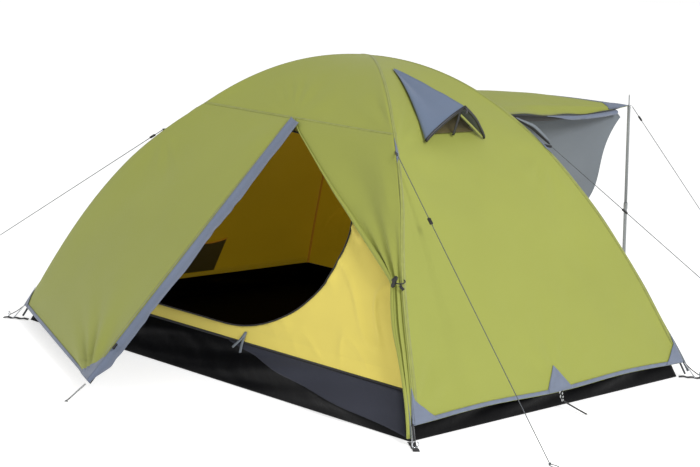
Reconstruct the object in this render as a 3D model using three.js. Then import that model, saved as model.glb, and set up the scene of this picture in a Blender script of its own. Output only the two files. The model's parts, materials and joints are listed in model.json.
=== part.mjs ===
// A two-pole dome tent with a vestibule at each end, one raised as an awning on its own pole.
//
// Millimetres, +Z up. The origin is the middle of the groundsheet's underside. The doors face -Y
// and +Y, and the plain walls with the vents face -X and +X. Every cloth panel follows one dome:
// two crossed poles set the four ridges, and each wall is ruled straight between two ridges.

import * as THREE from 'three';

// ---------------------------------------------------------------- driving dimensions

const FLOOR_WIDTH = 2100;          // groundsheet, along X
const FLOOR_DEPTH = 1610;          // groundsheet, along Y
const FLY_HEIGHT = 1190;           // top of the fly
const ARCH_POWER = 2.12;           // how squarely the poles arch

const FLY_SPREAD = 1.044;          // the fly's ridges, as a share of the floor's diagonal
const POLE_SPREAD = 1.03;
const POLE_DEPTH = [12, 21.5];     // the two poles' centres below the fly's top, one over the other
const INNER_DEPTH = 38;            // the inner tent's top below the fly's top

const CLOTH = 2;                   // thickness of every cloth panel
const SEAM = 3;                    // each panel's edge stops this far from its ridge
const TOP = 0.012;                 // panels start this near the apex, as a share of a ridge
const HEM = 0.965;                 // the fly ends here
const EAVE = 0.47;                 // the cross seam where the roof meets a vestibule

const TUB_HEIGHT = 155;            // the groundsheet's raised wall
const TUB_CLOTH = 2.5;
const DOOR = { middle: 50, width: 445, left: -560, leftTop: -430, centre: 550, half: 350 };

const POCKET = { top: 290, foot: 170, front: -100, rear: 140, inset: 16 };

const CLOSED_TIP = [0, 1340, 50];  // a staked vestibule's tip, on its own side of the tent
const AWNING_TIP_SHIFT = 100;      // the awning's tip stands this far off the middle
const AWNING_RISE = 44.4;          // degrees between a staked vestibule and the raised awning
const AWNING_FOLD = -80;           // degrees that its side panel hangs from the awning's crest
const FREE_EDGE_BULGE = 0.2;       // how much of the ridge's bow the awning's loose edge keeps
const FREE_EDGE = 0.93;            // the loose edge, as a share of the way from tip to ridge
const SEWN_EDGE = 0.994;           // an edge sewn along the ridge
const FLAP_WIDTH = 52;             // storm flap over a vestibule zip
const TIE_BACK = 0.78;             // where the open door is tied to its ridge

const POLE_RADIUS = 4.25;
const FERRULE_RADIUS = 6.8;
const FERRULE_BORE = 5.3;
const FERRULE_LENGTH = 52;
const POLE_FOOT = 0.994;           // where a pole ends above its corner strap
const AWNING_POLE = { radius: 8, upper: 7, spike: 2.6, spikeLength: 62, foot: [100, 1786] };

const CORD_RADIUS = 1.5;
const RUNNER = { length: 26, width: 13, thick: 8 };

// ---------------------------------------------------------------- materials

const finish = (color, roughness, metalness = 0) =>
  new THREE.MeshStandardMaterial({ color, roughness, metalness });

const LOOK = {
  fly: () => finish(0xa9ae5e, 0.62),
  trim: () => finish(0x7d87a0, 0.6),
  inner: () => finish(0xe4d46e, 0.75),
  mesh: () => finish(0x2b2b2b, 0.9),
  sheet: () => finish(0x1b1c20, 0.5),
  pole: () => finish(0x3a3f45, 0.4),
  steel: () => finish(0x8b8f92, 0.35, 0.9),
  ring: () => finish(0xc8cbce, 0.25, 0.95),
  webbing: () => finish(0x202124, 0.85),
  cord: () => finish(0x33363a, 0.8),
  plastic: () => finish(0x151515, 0.45),
};

const tent = new THREE.Group();

function add(name, look, geometry, parent = tent) {
  const mesh = new THREE.Mesh(geometry, LOOK[look]());
  mesh.name = name;
  parent.add(mesh);
  return mesh;
}

// ---------------------------------------------------------------- the dome

const vec = (x, y, z) => new THREE.Vector3(x, y, z);
const between = (a, b, share) => a.clone().lerp(b, share);
const radians = THREE.MathUtils.degToRad;

// A point on the ridge towards corner (sideX, sideY): share 0 is the apex and 1 the ground.
function ridge(layer, sideX, sideY, share) {
  return vec(
    sideX * FLOOR_WIDTH / 2 * layer.spread * share,
    sideY * FLOOR_DEPTH / 2 * layer.spread * share,
    layer.height * (1 - share ** ARCH_POWER),
  );
}

const FLY = { spread: FLY_SPREAD, height: FLY_HEIGHT };
const INNER = { spread: 1, height: FLY_HEIGHT - INNER_DEPTH };
const POLES = POLE_DEPTH.map((depth) => ({ spread: POLE_SPREAD, height: FLY_HEIGHT - depth }));

const shareAt = (layer, z) => (1 - z / layer.height) ** (1 / ARCH_POWER);

// ---------------------------------------------------------------- cloth

// A closed panel: grid[i][j] is its middle surface, thick(i, j) its thickness, and
// keep(i, j) says which cells it has, so that an opening is a block of missing cells.
function panel(grid, thick = () => CLOTH, keep = () => true) {
  const rows = grid.length;
  const columns = grid[0].length;
  const has = (i, j) => i >= 0 && j >= 0 && i < rows - 1 && j < columns - 1 && keep(i, j);
  const normals = grid.map((row) => row.map(() => vec(0, 0, 0)));
  const corners = (i, j) => [[i, j], [i + 1, j], [i + 1, j + 1], [i, j + 1]];
  const cells = [];
  for (let i = 0; i < rows - 1; i++) {
    for (let j = 0; j < columns - 1; j++) {
      if (has(i, j)) cells.push([i, j]);
    }
  }
  for (const [i, j] of cells) {
    const [a, b, c, d] = corners(i, j).map(([r, s]) => grid[r][s]);
    const normal = c.clone().sub(a).cross(d.clone().sub(b)).normalize();
    for (const [r, s] of corners(i, j)) normals[r][s].add(normal);
  }
  const positions = [];
  const index = [];
  const number = new Map();
  const vertex = (i, j, side) => {
    const key = `${i},${j},${side}`;
    if (!number.has(key)) {
      const out = normals[i][j].clone().normalize().multiplyScalar(side * thick(i, j) / 2);
      number.set(key, positions.length / 3);
      positions.push(...grid[i][j].clone().add(out).toArray());
    }
    return number.get(key);
  };
  const quad = (a, b, c, d) => index.push(a, b, c, a, c, d);
  const across = [[0, -1], [1, 0], [0, 1], [-1, 0]];
  for (const [i, j] of cells) {
    const ring = corners(i, j);
    quad(...ring.map(([r, s]) => vertex(r, s, 1)));
    quad(...ring.map(([r, s]) => vertex(r, s, -1)).reverse());
    across.forEach(([di, dj], k) => {
      if (has(i + di, j + dj)) return;
      const [a, b] = [ring[k], ring[(k + 1) % 4]];
      quad(vertex(...a, 1), vertex(...a, -1), vertex(...b, -1), vertex(...b, 1));
    });
  }
  const geometry = new THREE.BufferGeometry();
  geometry.setAttribute('position', new THREE.Float32BufferAttribute(positions, 3));
  geometry.setIndex(index);
  geometry.computeVertexNormals();
  return geometry;
}

// The straight row from a to b, stopping short of each by the seam allowance.
function seamed(a, b, steps, first = SEAM, last = SEAM) {
  const length = a.distanceTo(b);
  return Array.from({ length: steps + 1 }, (_, k) => {
    const share = THREE.MathUtils.lerp(first / length, 1 - last / length, k / steps);
    return between(a, b, share);
  });
}

const spread = (from, to, steps) =>
  Array.from({ length: steps + 1 }, (_, k) => THREE.MathUtils.lerp(from, to, k / steps));

// A wall between the ridges to corners a and b. The corners run anticlockwise as seen from
// above, so that the wall's outer face is the dome's.
function wall(layer, a, b, from, to, steps) {
  const rows = spread(from, to, steps).map((share) =>
    seamed(ridge(layer, ...a, share), ridge(layer, ...b, share), 1));
  return panel(rows);
}

const CORNERS = { front_left: [-1, -1], front_right: [1, -1], rear_right: [1, 1], rear_left: [-1, 1] };
const { front_left, front_right, rear_right, rear_left } = CORNERS;

// ---------------------------------------------------------------- groundsheet

// An open tray: a flat floor and a low wall that leans with the inner tent.
function groundsheet() {
  const ringAt = (z, inset, share = shareAt(INNER, z)) => {
    const x = FLOOR_WIDTH / 2 * share - inset;
    const y = FLOOR_DEPTH / 2 * share - inset;
    return [vec(-x, -y, z), vec(x, -y, z), vec(x, y, z), vec(-x, y, z)];
  };
  const outer = spread(0, TUB_HEIGHT, 4).map((z) => ringAt(z, 0));
  const inner = spread(TUB_HEIGHT, TUB_CLOTH, 4).map((z) => ringAt(z, TUB_CLOTH * 1.1));
  const rings = [...outer, ...inner];
  const positions = rings.flat().flatMap((p) => p.toArray());
  const index = [];
  const quad = (a, b, c, d) => index.push(a, b, c, a, c, d);
  for (let r = 0; r < rings.length - 1; r++) {
    for (let k = 0; k < 4; k++) {
      const next = (k + 1) % 4;
      quad(4 * r + k, 4 * r + next, 4 * r + 4 + next, 4 * r + 4 + k);
    }
  }
  const last = 4 * (rings.length - 1);
  quad(3, 2, 1, 0);
  quad(last, last + 1, last + 2, last + 3);
  const geometry = new THREE.BufferGeometry();
  geometry.setAttribute('position', new THREE.Float32BufferAttribute(positions, 3));
  geometry.setIndex(index);
  return geometry;
}

add('groundsheet', 'sheet', groundsheet());

// ---------------------------------------------------------------- inner tent

// The end walls have a D-shaped door: upright on one side, half an ellipse on the other.
const INNER_FOOT = shareAt(INNER, TUB_HEIGHT + 3);
const doorHeights = spread(0, Math.PI, 12);
const doorRows = doorHeights.map((angle) => ({
  share: shareAt(INNER, DOOR.centre + DOOR.half * Math.cos(angle)),
  left: THREE.MathUtils.lerp(DOOR.leftTop, DOOR.left, (1 - Math.cos(angle)) / 2),
  right: DOOR.middle + DOOR.width * Math.sin(angle),
}));

// One row of an end wall at a share of the ridges, with the door's two sides as its middle points.
function endRow(side, share, left, right) {
  const half = FLOOR_WIDTH / 2 * share - SEAM;
  const at = (x) => {
    const p = ridge(INNER, 0, side, share);
    return vec(-side * x, p.y, p.z);
  };
  return [at(-half), at(left), at(right), at(half)];
}

function endWall(side) {
  const above = spread(TOP * 3, doorRows[0].share, 5).slice(0, -1).map((share) => {
    const close = share / doorRows[0].share;
    return endRow(side, share, DOOR.leftTop * close, DOOR.middle * close);
  });
  const beside = doorRows.map((row) => endRow(side, row.share, row.left, row.right));
  const below = endRow(side, INNER_FOOT, DOOR.left, DOOR.middle);
  const rows = [...above, ...beside, below];
  const open = (i, j) => j === 1 && i >= above.length && i < above.length + beside.length - 1;
  return panel(rows, () => CLOTH, (i, j) => !open(i, j));
}

// The zipped-shut door fills its opening with a small gap all round.
function endDoor(side) {
  const gap = 2.5;
  const lean = gap / (2 * DOOR.half);
  const rows = doorRows.map((row, k) => {
    const inset = k === 0 ? lean : k === doorRows.length - 1 ? -lean : 0;
    const [, left, right] = endRow(side, row.share + inset, row.left + gap, row.right - gap);
    return [left, right];
  });
  return panel(rows);
}

add('inner_front_wall', 'inner', endWall(-1));
add('inner_rear_wall', 'inner', endWall(1));
add('inner_rear_door', 'inner', endDoor(1));
add('inner_right_wall', 'inner', wall(INNER, front_right, rear_right, TOP * 3, INNER_FOOT, 14));
add('inner_left_wall', 'inner', wall(INNER, rear_left, front_left, TOP * 3, INNER_FOOT, 14));

// A tube of constant section along a curve.
function tube(curve, radius, sides, steps, bore = 0) {
  const section = new THREE.Shape();
  section.absarc(0, 0, radius, 0, 2 * Math.PI, false);
  if (bore) {
    const hole = new THREE.Path();
    hole.absarc(0, 0, bore, 0, 2 * Math.PI, true);
    section.holes.push(hole);
  }
  return new THREE.ExtrudeGeometry(section, {
    extrudePath: curve, steps, curveSegments: sides, bevelEnabled: false,
  });
}

// The front door is rolled to its upright side and tied, just outside the wall.
class DoorRollCurve extends THREE.Curve {
  getPoint(t) {
    const z = THREE.MathUtils.lerp(225, 790, t);
    const share = shareAt(INNER, z);
    const x = THREE.MathUtils.lerp(DOOR.left, DOOR.leftTop, t) - 30;
    return vec(x, -FLOOR_DEPTH / 2 * share - 36, z);
  }
}
add('inner_front_door_roll', 'inner', tube(new DoorRollCurve(), 26, 6, 8));

// A mesh pocket sewn inside the left wall, towards the front corner.
function pocket() {
  const rows = spread(POCKET.top, POCKET.foot, 2).map((z) => {
    const x = -FLOOR_WIDTH / 2 * shareAt(INNER, z) + POCKET.inset;
    return seamed(vec(x, POCKET.rear, z), vec(x, POCKET.front, z), 1, 0, 0);
  });
  return panel(rows, () => 3);
}
add('inner_pocket', 'mesh', pocket());

// ---------------------------------------------------------------- fly

add('fly_front_roof', 'fly', wall(FLY, front_left, front_right, TOP, EAVE, 8));
add('fly_right_side', 'fly', wall(FLY, front_right, rear_right, TOP, HEM, 16));
add('fly_rear_roof', 'fly', wall(FLY, rear_right, rear_left, TOP, EAVE, 8));
add('fly_left_side', 'fly', wall(FLY, rear_left, front_left, TOP, HEM, 16));

// Where a vestibule's zip starts, at the middle of the cross seam.
const eaveZ = ridge(FLY, 0, 0, EAVE).z;
const eaveY = FLOOR_DEPTH / 2 * FLY_SPREAD * EAVE;
const zipTop = (sideY) => vec(0, sideY * (eaveY + 9), eaveZ - 5);
const eaveCorner = (sideX, sideY) => ridge(FLY, sideX, sideY, EAVE);

// Half of a vestibule, staked: a flat triangle under the cross seam and a side panel, both
// drawn out to the tip. The tip itself is left out, because a sewn patch closes it.
function canopyRoof(tip, sideX, sideY) {
  const start = zipTop(sideY);
  const end = eaveCorner(sideX, sideY);
  const ends = sideX * sideY > 0 ? [end, start] : [start, end];
  return panel([0.07, 0.993].map((share) =>
    seamed(between(tip, ends[0], share), between(tip, ends[1], share), 1)));
}

function canopySide(tip, sideX, sideY, bulge, far, steps = 12) {
  const top = eaveCorner(sideX, sideY);
  const foot = ridge(FLY, sideX, sideY, HEM);
  const edge = spread(EAVE, HEM, steps).map((share, k) => {
    const chord = between(top, foot, k / steps);
    return between(chord, ridge(FLY, sideX, sideY, share), bulge);
  });
  const near = 0.07;
  const rows = [near, far].map((share) => {
    const row = edge.map((point) => between(tip, point, share));
    const width = row[0].distanceTo(row[steps]);
    row[0] = between(row[0], row[1], Math.min(0.9, SEAM * steps / width));
    return row;
  });
  return panel(sideX * sideY > 0 ? rows : rows.map((row) => row.reverse()));
}

// The storm flap hangs from the zip edge, a strip down the whole length of it.
function stormFlap(tip, sideX, sideY, drop, end) {
  const top = zipTop(sideY);
  const rows = [0.09, end].map((share) => {
    const hem = between(tip, top, share);
    return [hem.clone().addScaledVector(drop, 4), hem.clone().addScaledVector(drop, FLAP_WIDTH)];
  });
  return panel(sideX * sideY > 0 ? rows : rows.map((row) => row.reverse()));
}

// Front, left half: closed and staked. Its flap lies along the zip, across the opening.
const frontTip = vec(CLOSED_TIP[0], -CLOSED_TIP[1], CLOSED_TIP[2]);
add('front_canopy', 'fly', canopyRoof(frontTip, -1, -1));
add('front_side_panel', 'fly', canopySide(frontTip, -1, -1, 1, SEWN_EDGE));
add('front_storm_flap', 'trim', stormFlap(frontTip, -1, -1, vec(1, 0, -0.25).normalize(), 0.97));

// Rear, left half: unhooked at its corner and turned up about the cross seam, with its side
// panel hanging from the crest between the seam's end and the tip.
const awningClosedTip = vec(AWNING_TIP_SHIFT, CLOSED_TIP[1] - 10, CLOSED_TIP[2]);
const seamLine = zipTop(1);
const crestStart = eaveCorner(-1, 1);

function turned(group, point, axis, degrees) {
  const pivot = new THREE.Group();
  pivot.position.copy(point);
  pivot.quaternion.setFromAxisAngle(axis.clone().normalize(), radians(degrees));
  const back = new THREE.Group();
  back.position.copy(point).negate();
  pivot.add(back);
  group.add(pivot);
  return back;
}

const raised = turned(tent, seamLine, vec(1, 0, 0), AWNING_RISE);
add('awning_canopy', 'fly', canopyRoof(awningClosedTip, -1, 1), raised);
const awningFlap = stormFlap(awningClosedTip, -1, 1, vec(0.15, -0.7, -0.72), 0.88);
add('awning_storm_flap', 'trim', awningFlap, raised);
const hanging = turned(raised, crestStart, awningClosedTip.clone().sub(crestStart), AWNING_FOLD);
const awningSide = canopySide(awningClosedTip, -1, 1, FREE_EDGE_BULGE, FREE_EDGE);
add('awning_side_panel', 'fly', awningSide, hanging);

// The awning's tip, raised.
const awningTip = awningClosedTip.clone().sub(seamLine)
  .applyAxisAngle(vec(1, 0, 0), radians(AWNING_RISE)).add(seamLine);

// Right halves, front and rear: opened, drawn up to the ridge and tied there. Above the tie the
// cloth is a narrowing curtain, and below it a thin bundle that runs down to the corner.
function gatheredDoor(sideX, sideY) {
  const steps = 14;
  const shares = spread(EAVE + 0.008, HEM, steps);
  const tie = ridge(FLY, sideX, sideY, TIE_BACK).add(vec(-sideX * 46, sideY * 13, 0));
  const rows = shares.map((share) => {
    const edge = ridge(FLY, sideX, sideY, share);
    const free = share < TIE_BACK
      ? between(zipTop(sideY), tie, (share - EAVE) / (TIE_BACK - EAVE))
      : edge.clone().add(vec(-sideX * 46, sideY * 13, 0));
    return seamed(edge, free, 2, SEAM, 0);
  });
  const thick = (i, j) => {
    const share = shares[i];
    const bundle = THREE.MathUtils.smoothstep(share, 0.66, TIE_BACK);
    return CLOTH + bundle * [0, 16, 5][j];
  };
  return panel(sideX * sideY > 0 ? rows : rows.map((row) => row.reverse()), thick);
}
add('front_door_gathered', 'fly', gatheredDoor(1, -1));
add('rear_door_gathered', 'fly', gatheredDoor(1, 1));

// ---------------------------------------------------------------- vents

// A hood on each plain wall: a peaked cloth cone, open at its lower edge, propped by a strut.
const VENT = { top: 0.182, foot: 0.494, half: 170, lift: 132, lean: 0.28, shift: -76, clear: 3 };

function ventPoint(side, share, y, lift) {
  const p = ridge(FLY, side, 0, share);
  const q = ridge(FLY, side, 0, share + 0.01);
  const out = vec(side * (p.z - q.z), 0, Math.abs(q.x - p.x)).normalize();
  const up = vec(side * VENT.lean, 0, 1).normalize();
  return vec(p.x, y + side * VENT.shift, p.z).addScaledVector(out, VENT.clear).addScaledVector(up, lift);
}

function ventHood(side) {
  const steps = 8;
  const rows = spread(0.12, 1, 6).map((along) => {
    const share = THREE.MathUtils.lerp(VENT.top, VENT.foot, along);
    return spread(-1, 1, steps).map((across) => {
      const peak = (1 - Math.abs(across)) ** 0.85;
      const lift = VENT.lift * along * peak;
      return ventPoint(side, share, across * VENT.half * along, lift);
    });
  });
  return panel(side > 0 ? rows : rows.map((row) => row.reverse()));
}

// A flat strap of a given width and thickness from a to b, its width along `wide`.
function bar(a, b, wide, width, thick) {
  const along = b.clone().sub(a);
  const geometry = new THREE.BoxGeometry(along.length(), width, thick);
  const x = along.clone().normalize();
  const y = wide.clone().addScaledVector(x, -wide.dot(x)).normalize();
  const basis = new THREE.Matrix4().makeBasis(x, y, x.clone().cross(y));
  basis.setPosition(between(a, b, 0.5));
  return geometry.applyMatrix4(basis);
}

const ventProp = (side) => bar(
  ventPoint(side, VENT.foot - 0.012, 0, 0),
  ventPoint(side, VENT.foot - 0.012, 0, VENT.lift - 20),
  vec(0, 1, 0), 14, 2.5,
);

for (const [name, side] of [['left', -1], ['right', 1]]) {
  add(`${name}_vent_hood`, 'trim', ventHood(side));
  add(`${name}_vent_prop`, 'plastic', ventProp(side));
}

// ---------------------------------------------------------------- dome poles

// The arch from one corner's foot over the apex to the opposite foot, and a stretch of it.
class ArchCurve extends THREE.Curve {
  constructor(layer, corner, from = 0, to = 1) {
    super();
    Object.assign(this, { layer, corner, from, to });
  }
  getPoint(t) {
    const along = THREE.MathUtils.lerp(this.from, this.to, t);
    const share = POLE_FOOT * (2 * along - 1);
    const side = share < 0 ? -1 : 1;
    const [x, y] = this.corner;
    return ridge(this.layer, x * side, y * side, Math.abs(share));
  }
}

const POLE_SECTIONS = 3;
const POLE_GAP = 0.0002;

function archPole(name, layer, corner) {
  const whole = new ArchCurve(layer, corner);
  const ferrule = FERRULE_LENGTH / 2 / whole.getLength();
  const at = (share) => whole.getUtoTmapping(share);
  for (let k = 0; k < POLE_SECTIONS; k++) {
    const from = k / POLE_SECTIONS + (k > 0 ? POLE_GAP : 0);
    const to = (k + 1) / POLE_SECTIONS - (k < POLE_SECTIONS - 1 ? POLE_GAP : 0);
    const stretch = new ArchCurve(layer, corner, at(from), at(to));
    add(`${name}_section_${k + 1}`, 'pole', tube(stretch, POLE_RADIUS, 4, 16));
    if (k === 0) continue;
    const sleeve = new ArchCurve(
      layer, corner, at(k / POLE_SECTIONS - ferrule), at(k / POLE_SECTIONS + ferrule));
    add(`${name}_ferrule_${k}`, 'steel', tube(sleeve, FERRULE_RADIUS, 6, 3, FERRULE_BORE));
  }
}
archPole('pole_a', POLES[0], rear_right);
archPole('pole_b', POLES[1], front_right);

// ---------------------------------------------------------------- corner fittings

// At each corner a webbing strap runs out over the ground under the pole's foot, and a ring
// joins it to the fly's corner patch.
const STRAP = { start: 1.006, end: 1.085, width: 24, thick: 2 };
const RING = { radius: 11, wire: 1.7, share: 1.068, height: 18 };

for (const [name, [x, y]] of Object.entries(CORNERS)) {
  const at = (share, z) => vec(x * FLOOR_WIDTH / 2 * share, y * FLOOR_DEPTH / 2 * share, z);
  const outward = at(1, 0).normalize();
  const across = vec(-outward.y, outward.x, 0);
  const middle = STRAP.thick / 2;
  add(`${name}_corner_strap`, 'webbing',
    bar(at(STRAP.start, middle), at(STRAP.end, middle), across, STRAP.width, STRAP.thick));
  const ring = new THREE.TorusGeometry(RING.radius, RING.wire, 8, 20);
  const side = across.clone().negate();
  const upright = new THREE.Matrix4().makeBasis(outward, vec(0, 0, 1), side);
  upright.setPosition(at(RING.share, RING.height));
  add(`${name}_corner_ring`, 'ring', ring.applyMatrix4(upright));
}

// ---------------------------------------------------------------- guy lines

// Each line runs straight from a patch on its ridge to the ground. The points are its route.
const polyline = (points) => {
  const path = new THREE.CurvePath();
  for (let k = 1; k < points.length; k++) path.add(new THREE.LineCurve3(points[k - 1], points[k]));
  return path;
};

const GUYS = {
  front_left: {
    points: [[-640, -492, 830], [-1808, -831, 3]],
    runner: 0.038,
  },
  front_right: {
    points: [[597, -457, 893], [1498, -620, 3]],
    runner: 0.23,
  },
  rear_right: {
    points: [[596, 457, 882], [1673, 1004, 3]],
    runner: 0.256,
  },
  rear_left: {
    points: [[-600, 468, 872], [-1671, 1008, 3]],
    runner: 0.3,
  },
  awning: {
    points: [[103, 1714, 950], [581, 2300, 3]],
    runner: 0.057,
  },
};

// A flat slider on the line, with two holes that the cord threads through.
function runner(a, b) {
  const along = b.clone().sub(a).normalize();
  const side = vec(-along.y, along.x, 0).normalize();
  const section = new THREE.Shape();
  section.moveTo(-RUNNER.width / 2, -RUNNER.thick / 2);
  section.lineTo(RUNNER.width / 2, -RUNNER.thick / 2);
  section.lineTo(RUNNER.width / 2, RUNNER.thick / 2);
  section.lineTo(-RUNNER.width / 2, RUNNER.thick / 2);
  section.closePath();
  const hole = new THREE.Path();
  hole.absarc(0, 0, CORD_RADIUS + 0.5, 0, 2 * Math.PI, true);
  section.holes.push(hole);
  const geometry = new THREE.ExtrudeGeometry(section, {
    depth: RUNNER.length, curveSegments: 5, bevelEnabled: false,
  });
  const basis = new THREE.Matrix4().makeBasis(side, along.clone().cross(side), along);
  return geometry.translate(0, 0, -RUNNER.length / 2).applyMatrix4(basis);
}

function guyLine(name, { points, runner: share }, runnerName) {
  const route = points.map((p) => vec(...p));
  const [start, end] = [route[0], route[route.length - 1]];
  add(name, 'cord', tube(new THREE.LineCurve3(start, end), CORD_RADIUS, 4, 12));
  const slider = add(runnerName, 'plastic', runner(start, end));
  slider.position.copy(between(start, end, share));
}

for (const [name, guy] of Object.entries(GUYS)) {
  guyLine(`${name}_guy_line`, guy, `${name}_guy_runner`);
}

// ---------------------------------------------------------------- awning pole

// Two steel tubes, the upper one stepped into the lower, with a spike through the tip's eyelet.
const poleTop = awningTip.z - CLOTH - 3;
const poleJoint = poleTop * 0.52;
const [poleX, poleY] = AWNING_POLE.foot;
const poleFoot = vec(poleX, poleY, 0);
const poleHead = vec(awningTip.x, awningTip.y + 4, poleTop);

function lathe(profile) {
  const points = profile.map(([r, z]) => new THREE.Vector2(r, z));
  return new THREE.LatheGeometry(points, 16).rotateX(Math.PI / 2);
}

function standing(geometry) {
  const up = poleHead.clone().sub(poleFoot).normalize();
  const turn = new THREE.Quaternion().setFromUnitVectors(vec(0, 0, 1), up);
  return geometry.applyQuaternion(turn).translate(...poleFoot.toArray());
}

const { radius, upper, spike, spikeLength } = AWNING_POLE;
add('awning_pole_lower', 'steel', standing(lathe([
  [0, 2], [radius - 2, 2], [radius, 5], [radius, poleJoint - 0.4], [0, poleJoint - 0.4],
])));
add('awning_pole_upper', 'steel', standing(lathe([
  [0, poleJoint], [upper, poleJoint], [upper, poleTop - 6], [spike, poleTop - 2],
  [spike, poleTop + spikeLength - 2], [0, poleTop + spikeLength],
])));

// ---------------------------------------------------------------- small fittings

// The front zip's slider, parked near the foot of the closed half's zip edge.
const zipSlider = () => {
  const at = between(frontTip, zipTop(-1), 0.12).add(vec(16, -9, 9));
  const along = zipTop(-1).sub(frontTip).normalize();
  return bar(at.clone().addScaledVector(along, -14), at.clone().addScaledVector(along, 14),
    vec(1, 0, 0), 9, 4);
};
add('zip_slider', 'plastic', zipSlider());

// The toggle that holds the front door back, in a loop on its ridge.
const togglePlace = ridge(FLY, 1, -1, TIE_BACK).add(vec(3, -21, 12));
add('tie_back_toggle', 'plastic', bar(
  togglePlace.clone().add(vec(-13, -2, -17)), togglePlace.clone().add(vec(13, 2, 17)),
  vec(0, -1, 0), 9, 7));

// The elastic loop from the staked tip to its peg.
const PEG_LOOP = [[3, -1352, 42], [12, -1388, 28], [22, -1424, 14], [32, -1456, 3.5]];
add('front_peg_loop', 'cord', tube(polyline(PEG_LOOP.map((p) => vec(...p))), 3, 4, 6));

export default tent;
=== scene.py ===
"""The looks of a two-pole dome tent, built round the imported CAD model.

Metres, in the CAD's frame: the origin is the middle of the groundsheet's underside, +Z is up,
the front door faces -Y and the raised awning is towards +Y.
"""

import json
from math import atan2, copysign, cos, degrees, exp, pi, radians, sin, sqrt

import bmesh
import bpy
from mathutils import Matrix, Vector, noise

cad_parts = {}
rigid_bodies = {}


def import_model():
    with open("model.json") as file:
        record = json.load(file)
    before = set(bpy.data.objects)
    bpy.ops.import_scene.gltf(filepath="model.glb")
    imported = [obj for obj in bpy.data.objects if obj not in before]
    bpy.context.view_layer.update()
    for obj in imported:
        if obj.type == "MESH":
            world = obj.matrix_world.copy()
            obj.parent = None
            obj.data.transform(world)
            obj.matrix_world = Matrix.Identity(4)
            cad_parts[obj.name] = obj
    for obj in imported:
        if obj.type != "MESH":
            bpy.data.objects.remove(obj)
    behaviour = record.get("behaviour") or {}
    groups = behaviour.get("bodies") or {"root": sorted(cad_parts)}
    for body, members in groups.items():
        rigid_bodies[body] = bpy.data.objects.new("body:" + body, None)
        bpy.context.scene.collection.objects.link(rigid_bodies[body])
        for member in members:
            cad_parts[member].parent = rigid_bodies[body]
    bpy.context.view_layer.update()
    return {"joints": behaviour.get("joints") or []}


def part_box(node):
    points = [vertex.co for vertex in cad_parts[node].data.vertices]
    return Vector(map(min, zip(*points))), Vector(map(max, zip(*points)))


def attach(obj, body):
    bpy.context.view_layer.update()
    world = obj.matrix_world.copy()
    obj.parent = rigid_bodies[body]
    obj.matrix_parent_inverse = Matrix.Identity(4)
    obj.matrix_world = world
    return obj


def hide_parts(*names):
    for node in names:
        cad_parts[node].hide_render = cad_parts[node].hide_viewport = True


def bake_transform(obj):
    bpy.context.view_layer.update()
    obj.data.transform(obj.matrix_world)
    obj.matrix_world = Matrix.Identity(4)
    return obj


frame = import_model()

# ---------------------------------------------------------------- the dome, from the frame

JOINTS = {joint["name"]: joint for joint in frame["joints"]}


def xyz(x, y, z):
    return Vector((x, y, z))


def joint_point(name):
    return Vector(JOINTS[name]["pos_m"])


def box_middle(name):
    low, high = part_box(name)
    return (low + high) / 2


UP = xyz(0, 0, 1)

HALF_X, HALF_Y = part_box("groundsheet")[1].xy
TUB_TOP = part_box("groundsheet")[1].z
ARCH_POWER = 2.12
FLY = (1.044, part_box("fly_left_side")[1].z)
INNER = (1.0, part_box("inner_left_wall")[1].z + 0.001)
EAVE = 0.47
CAD_HEM = 0.965
HEM = CAD_HEM + 0.0105
TIE_BACK = 0.78

CORNERS = {"front_left": (-1, -1), "front_right": (1, -1), "rear_right": (1, 1), "rear_left": (-1, 1)}
FRONT_LEFT, FRONT_RIGHT, REAR_RIGHT, REAR_LEFT = CORNERS.values()

FRONT_ZIP_TOP = joint_point("front_canopy_raise")
REAR_ZIP_TOP = joint_point("awning_lower")
FRONT_TIP = xyz(0, -1.340, 0.050)
AWNING_TIP = joint_point("awning_pole_swing")


def ridge(layer, corner, share):
    """A point of a layer's ridge: share 0 is the apex and 1 the ground at that corner."""
    spread, height = layer
    reach_x, reach_y = corner[0] * HALF_X * spread, corner[1] * HALF_Y * spread
    return xyz(reach_x * share, reach_y * share, height * (1 - share**ARCH_POWER))


def share_at(layer, z):
    return (1 - z / layer[1]) ** (1 / ARCH_POWER)


def mix(a, b, share):
    return a + (b - a) * share


def smooth(low, high, x):
    t = min(1.0, max(0.0, (x - low) / (high - low)))
    return t * t * (3 - 2 * t)


def turned(point, pivot, axis, degrees):
    return Matrix.Rotation(radians(degrees), 3, axis) @ (point - pivot) + pivot


def square_to(axis, vector):
    """The direction of the part of a vector that is square to an axis."""
    return (vector - axis * vector.dot(axis)).normalized()


def distances(points):
    """How far along the line through the points each of them lies."""
    made = [0.0]
    for p, q in zip(points, points[1:]):
        made.append(made[-1] + (q - p).length)
    return made


def circle(count):
    """Cosine and sine all the way round, the last the same as the first."""
    angles = (2 * pi * k / count for k in range(count + 1))
    return [(cos(angle), sin(angle)) for angle in angles]


# ---------------------------------------------------------------- camera


def make_camera():
    """The photograph's viewing angle: yaw 42.8 degrees, 9.7 down, rolled 3.8."""
    data = bpy.data.cameras.new("camera")
    data.sensor_width = 36
    data.lens = 92.6
    data.clip_end = 200
    camera = bpy.data.objects.new("camera", data)
    bpy.context.collection.objects.link(camera)
    forward = xyz(-0.6697, 0.7232, -0.1685).normalized()
    right = square_to(forward, xyz(0.7245, 0.6861, 0.0653))
    turn = Matrix((right, right.cross(forward), -forward)).transposed()
    camera.matrix_world = Matrix.Translation((4.83, -5.25, 1.69)) @ turn.to_4x4()
    bpy.context.scene.camera = camera


make_camera()

# ---------------------------------------------------------------- materials


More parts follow.
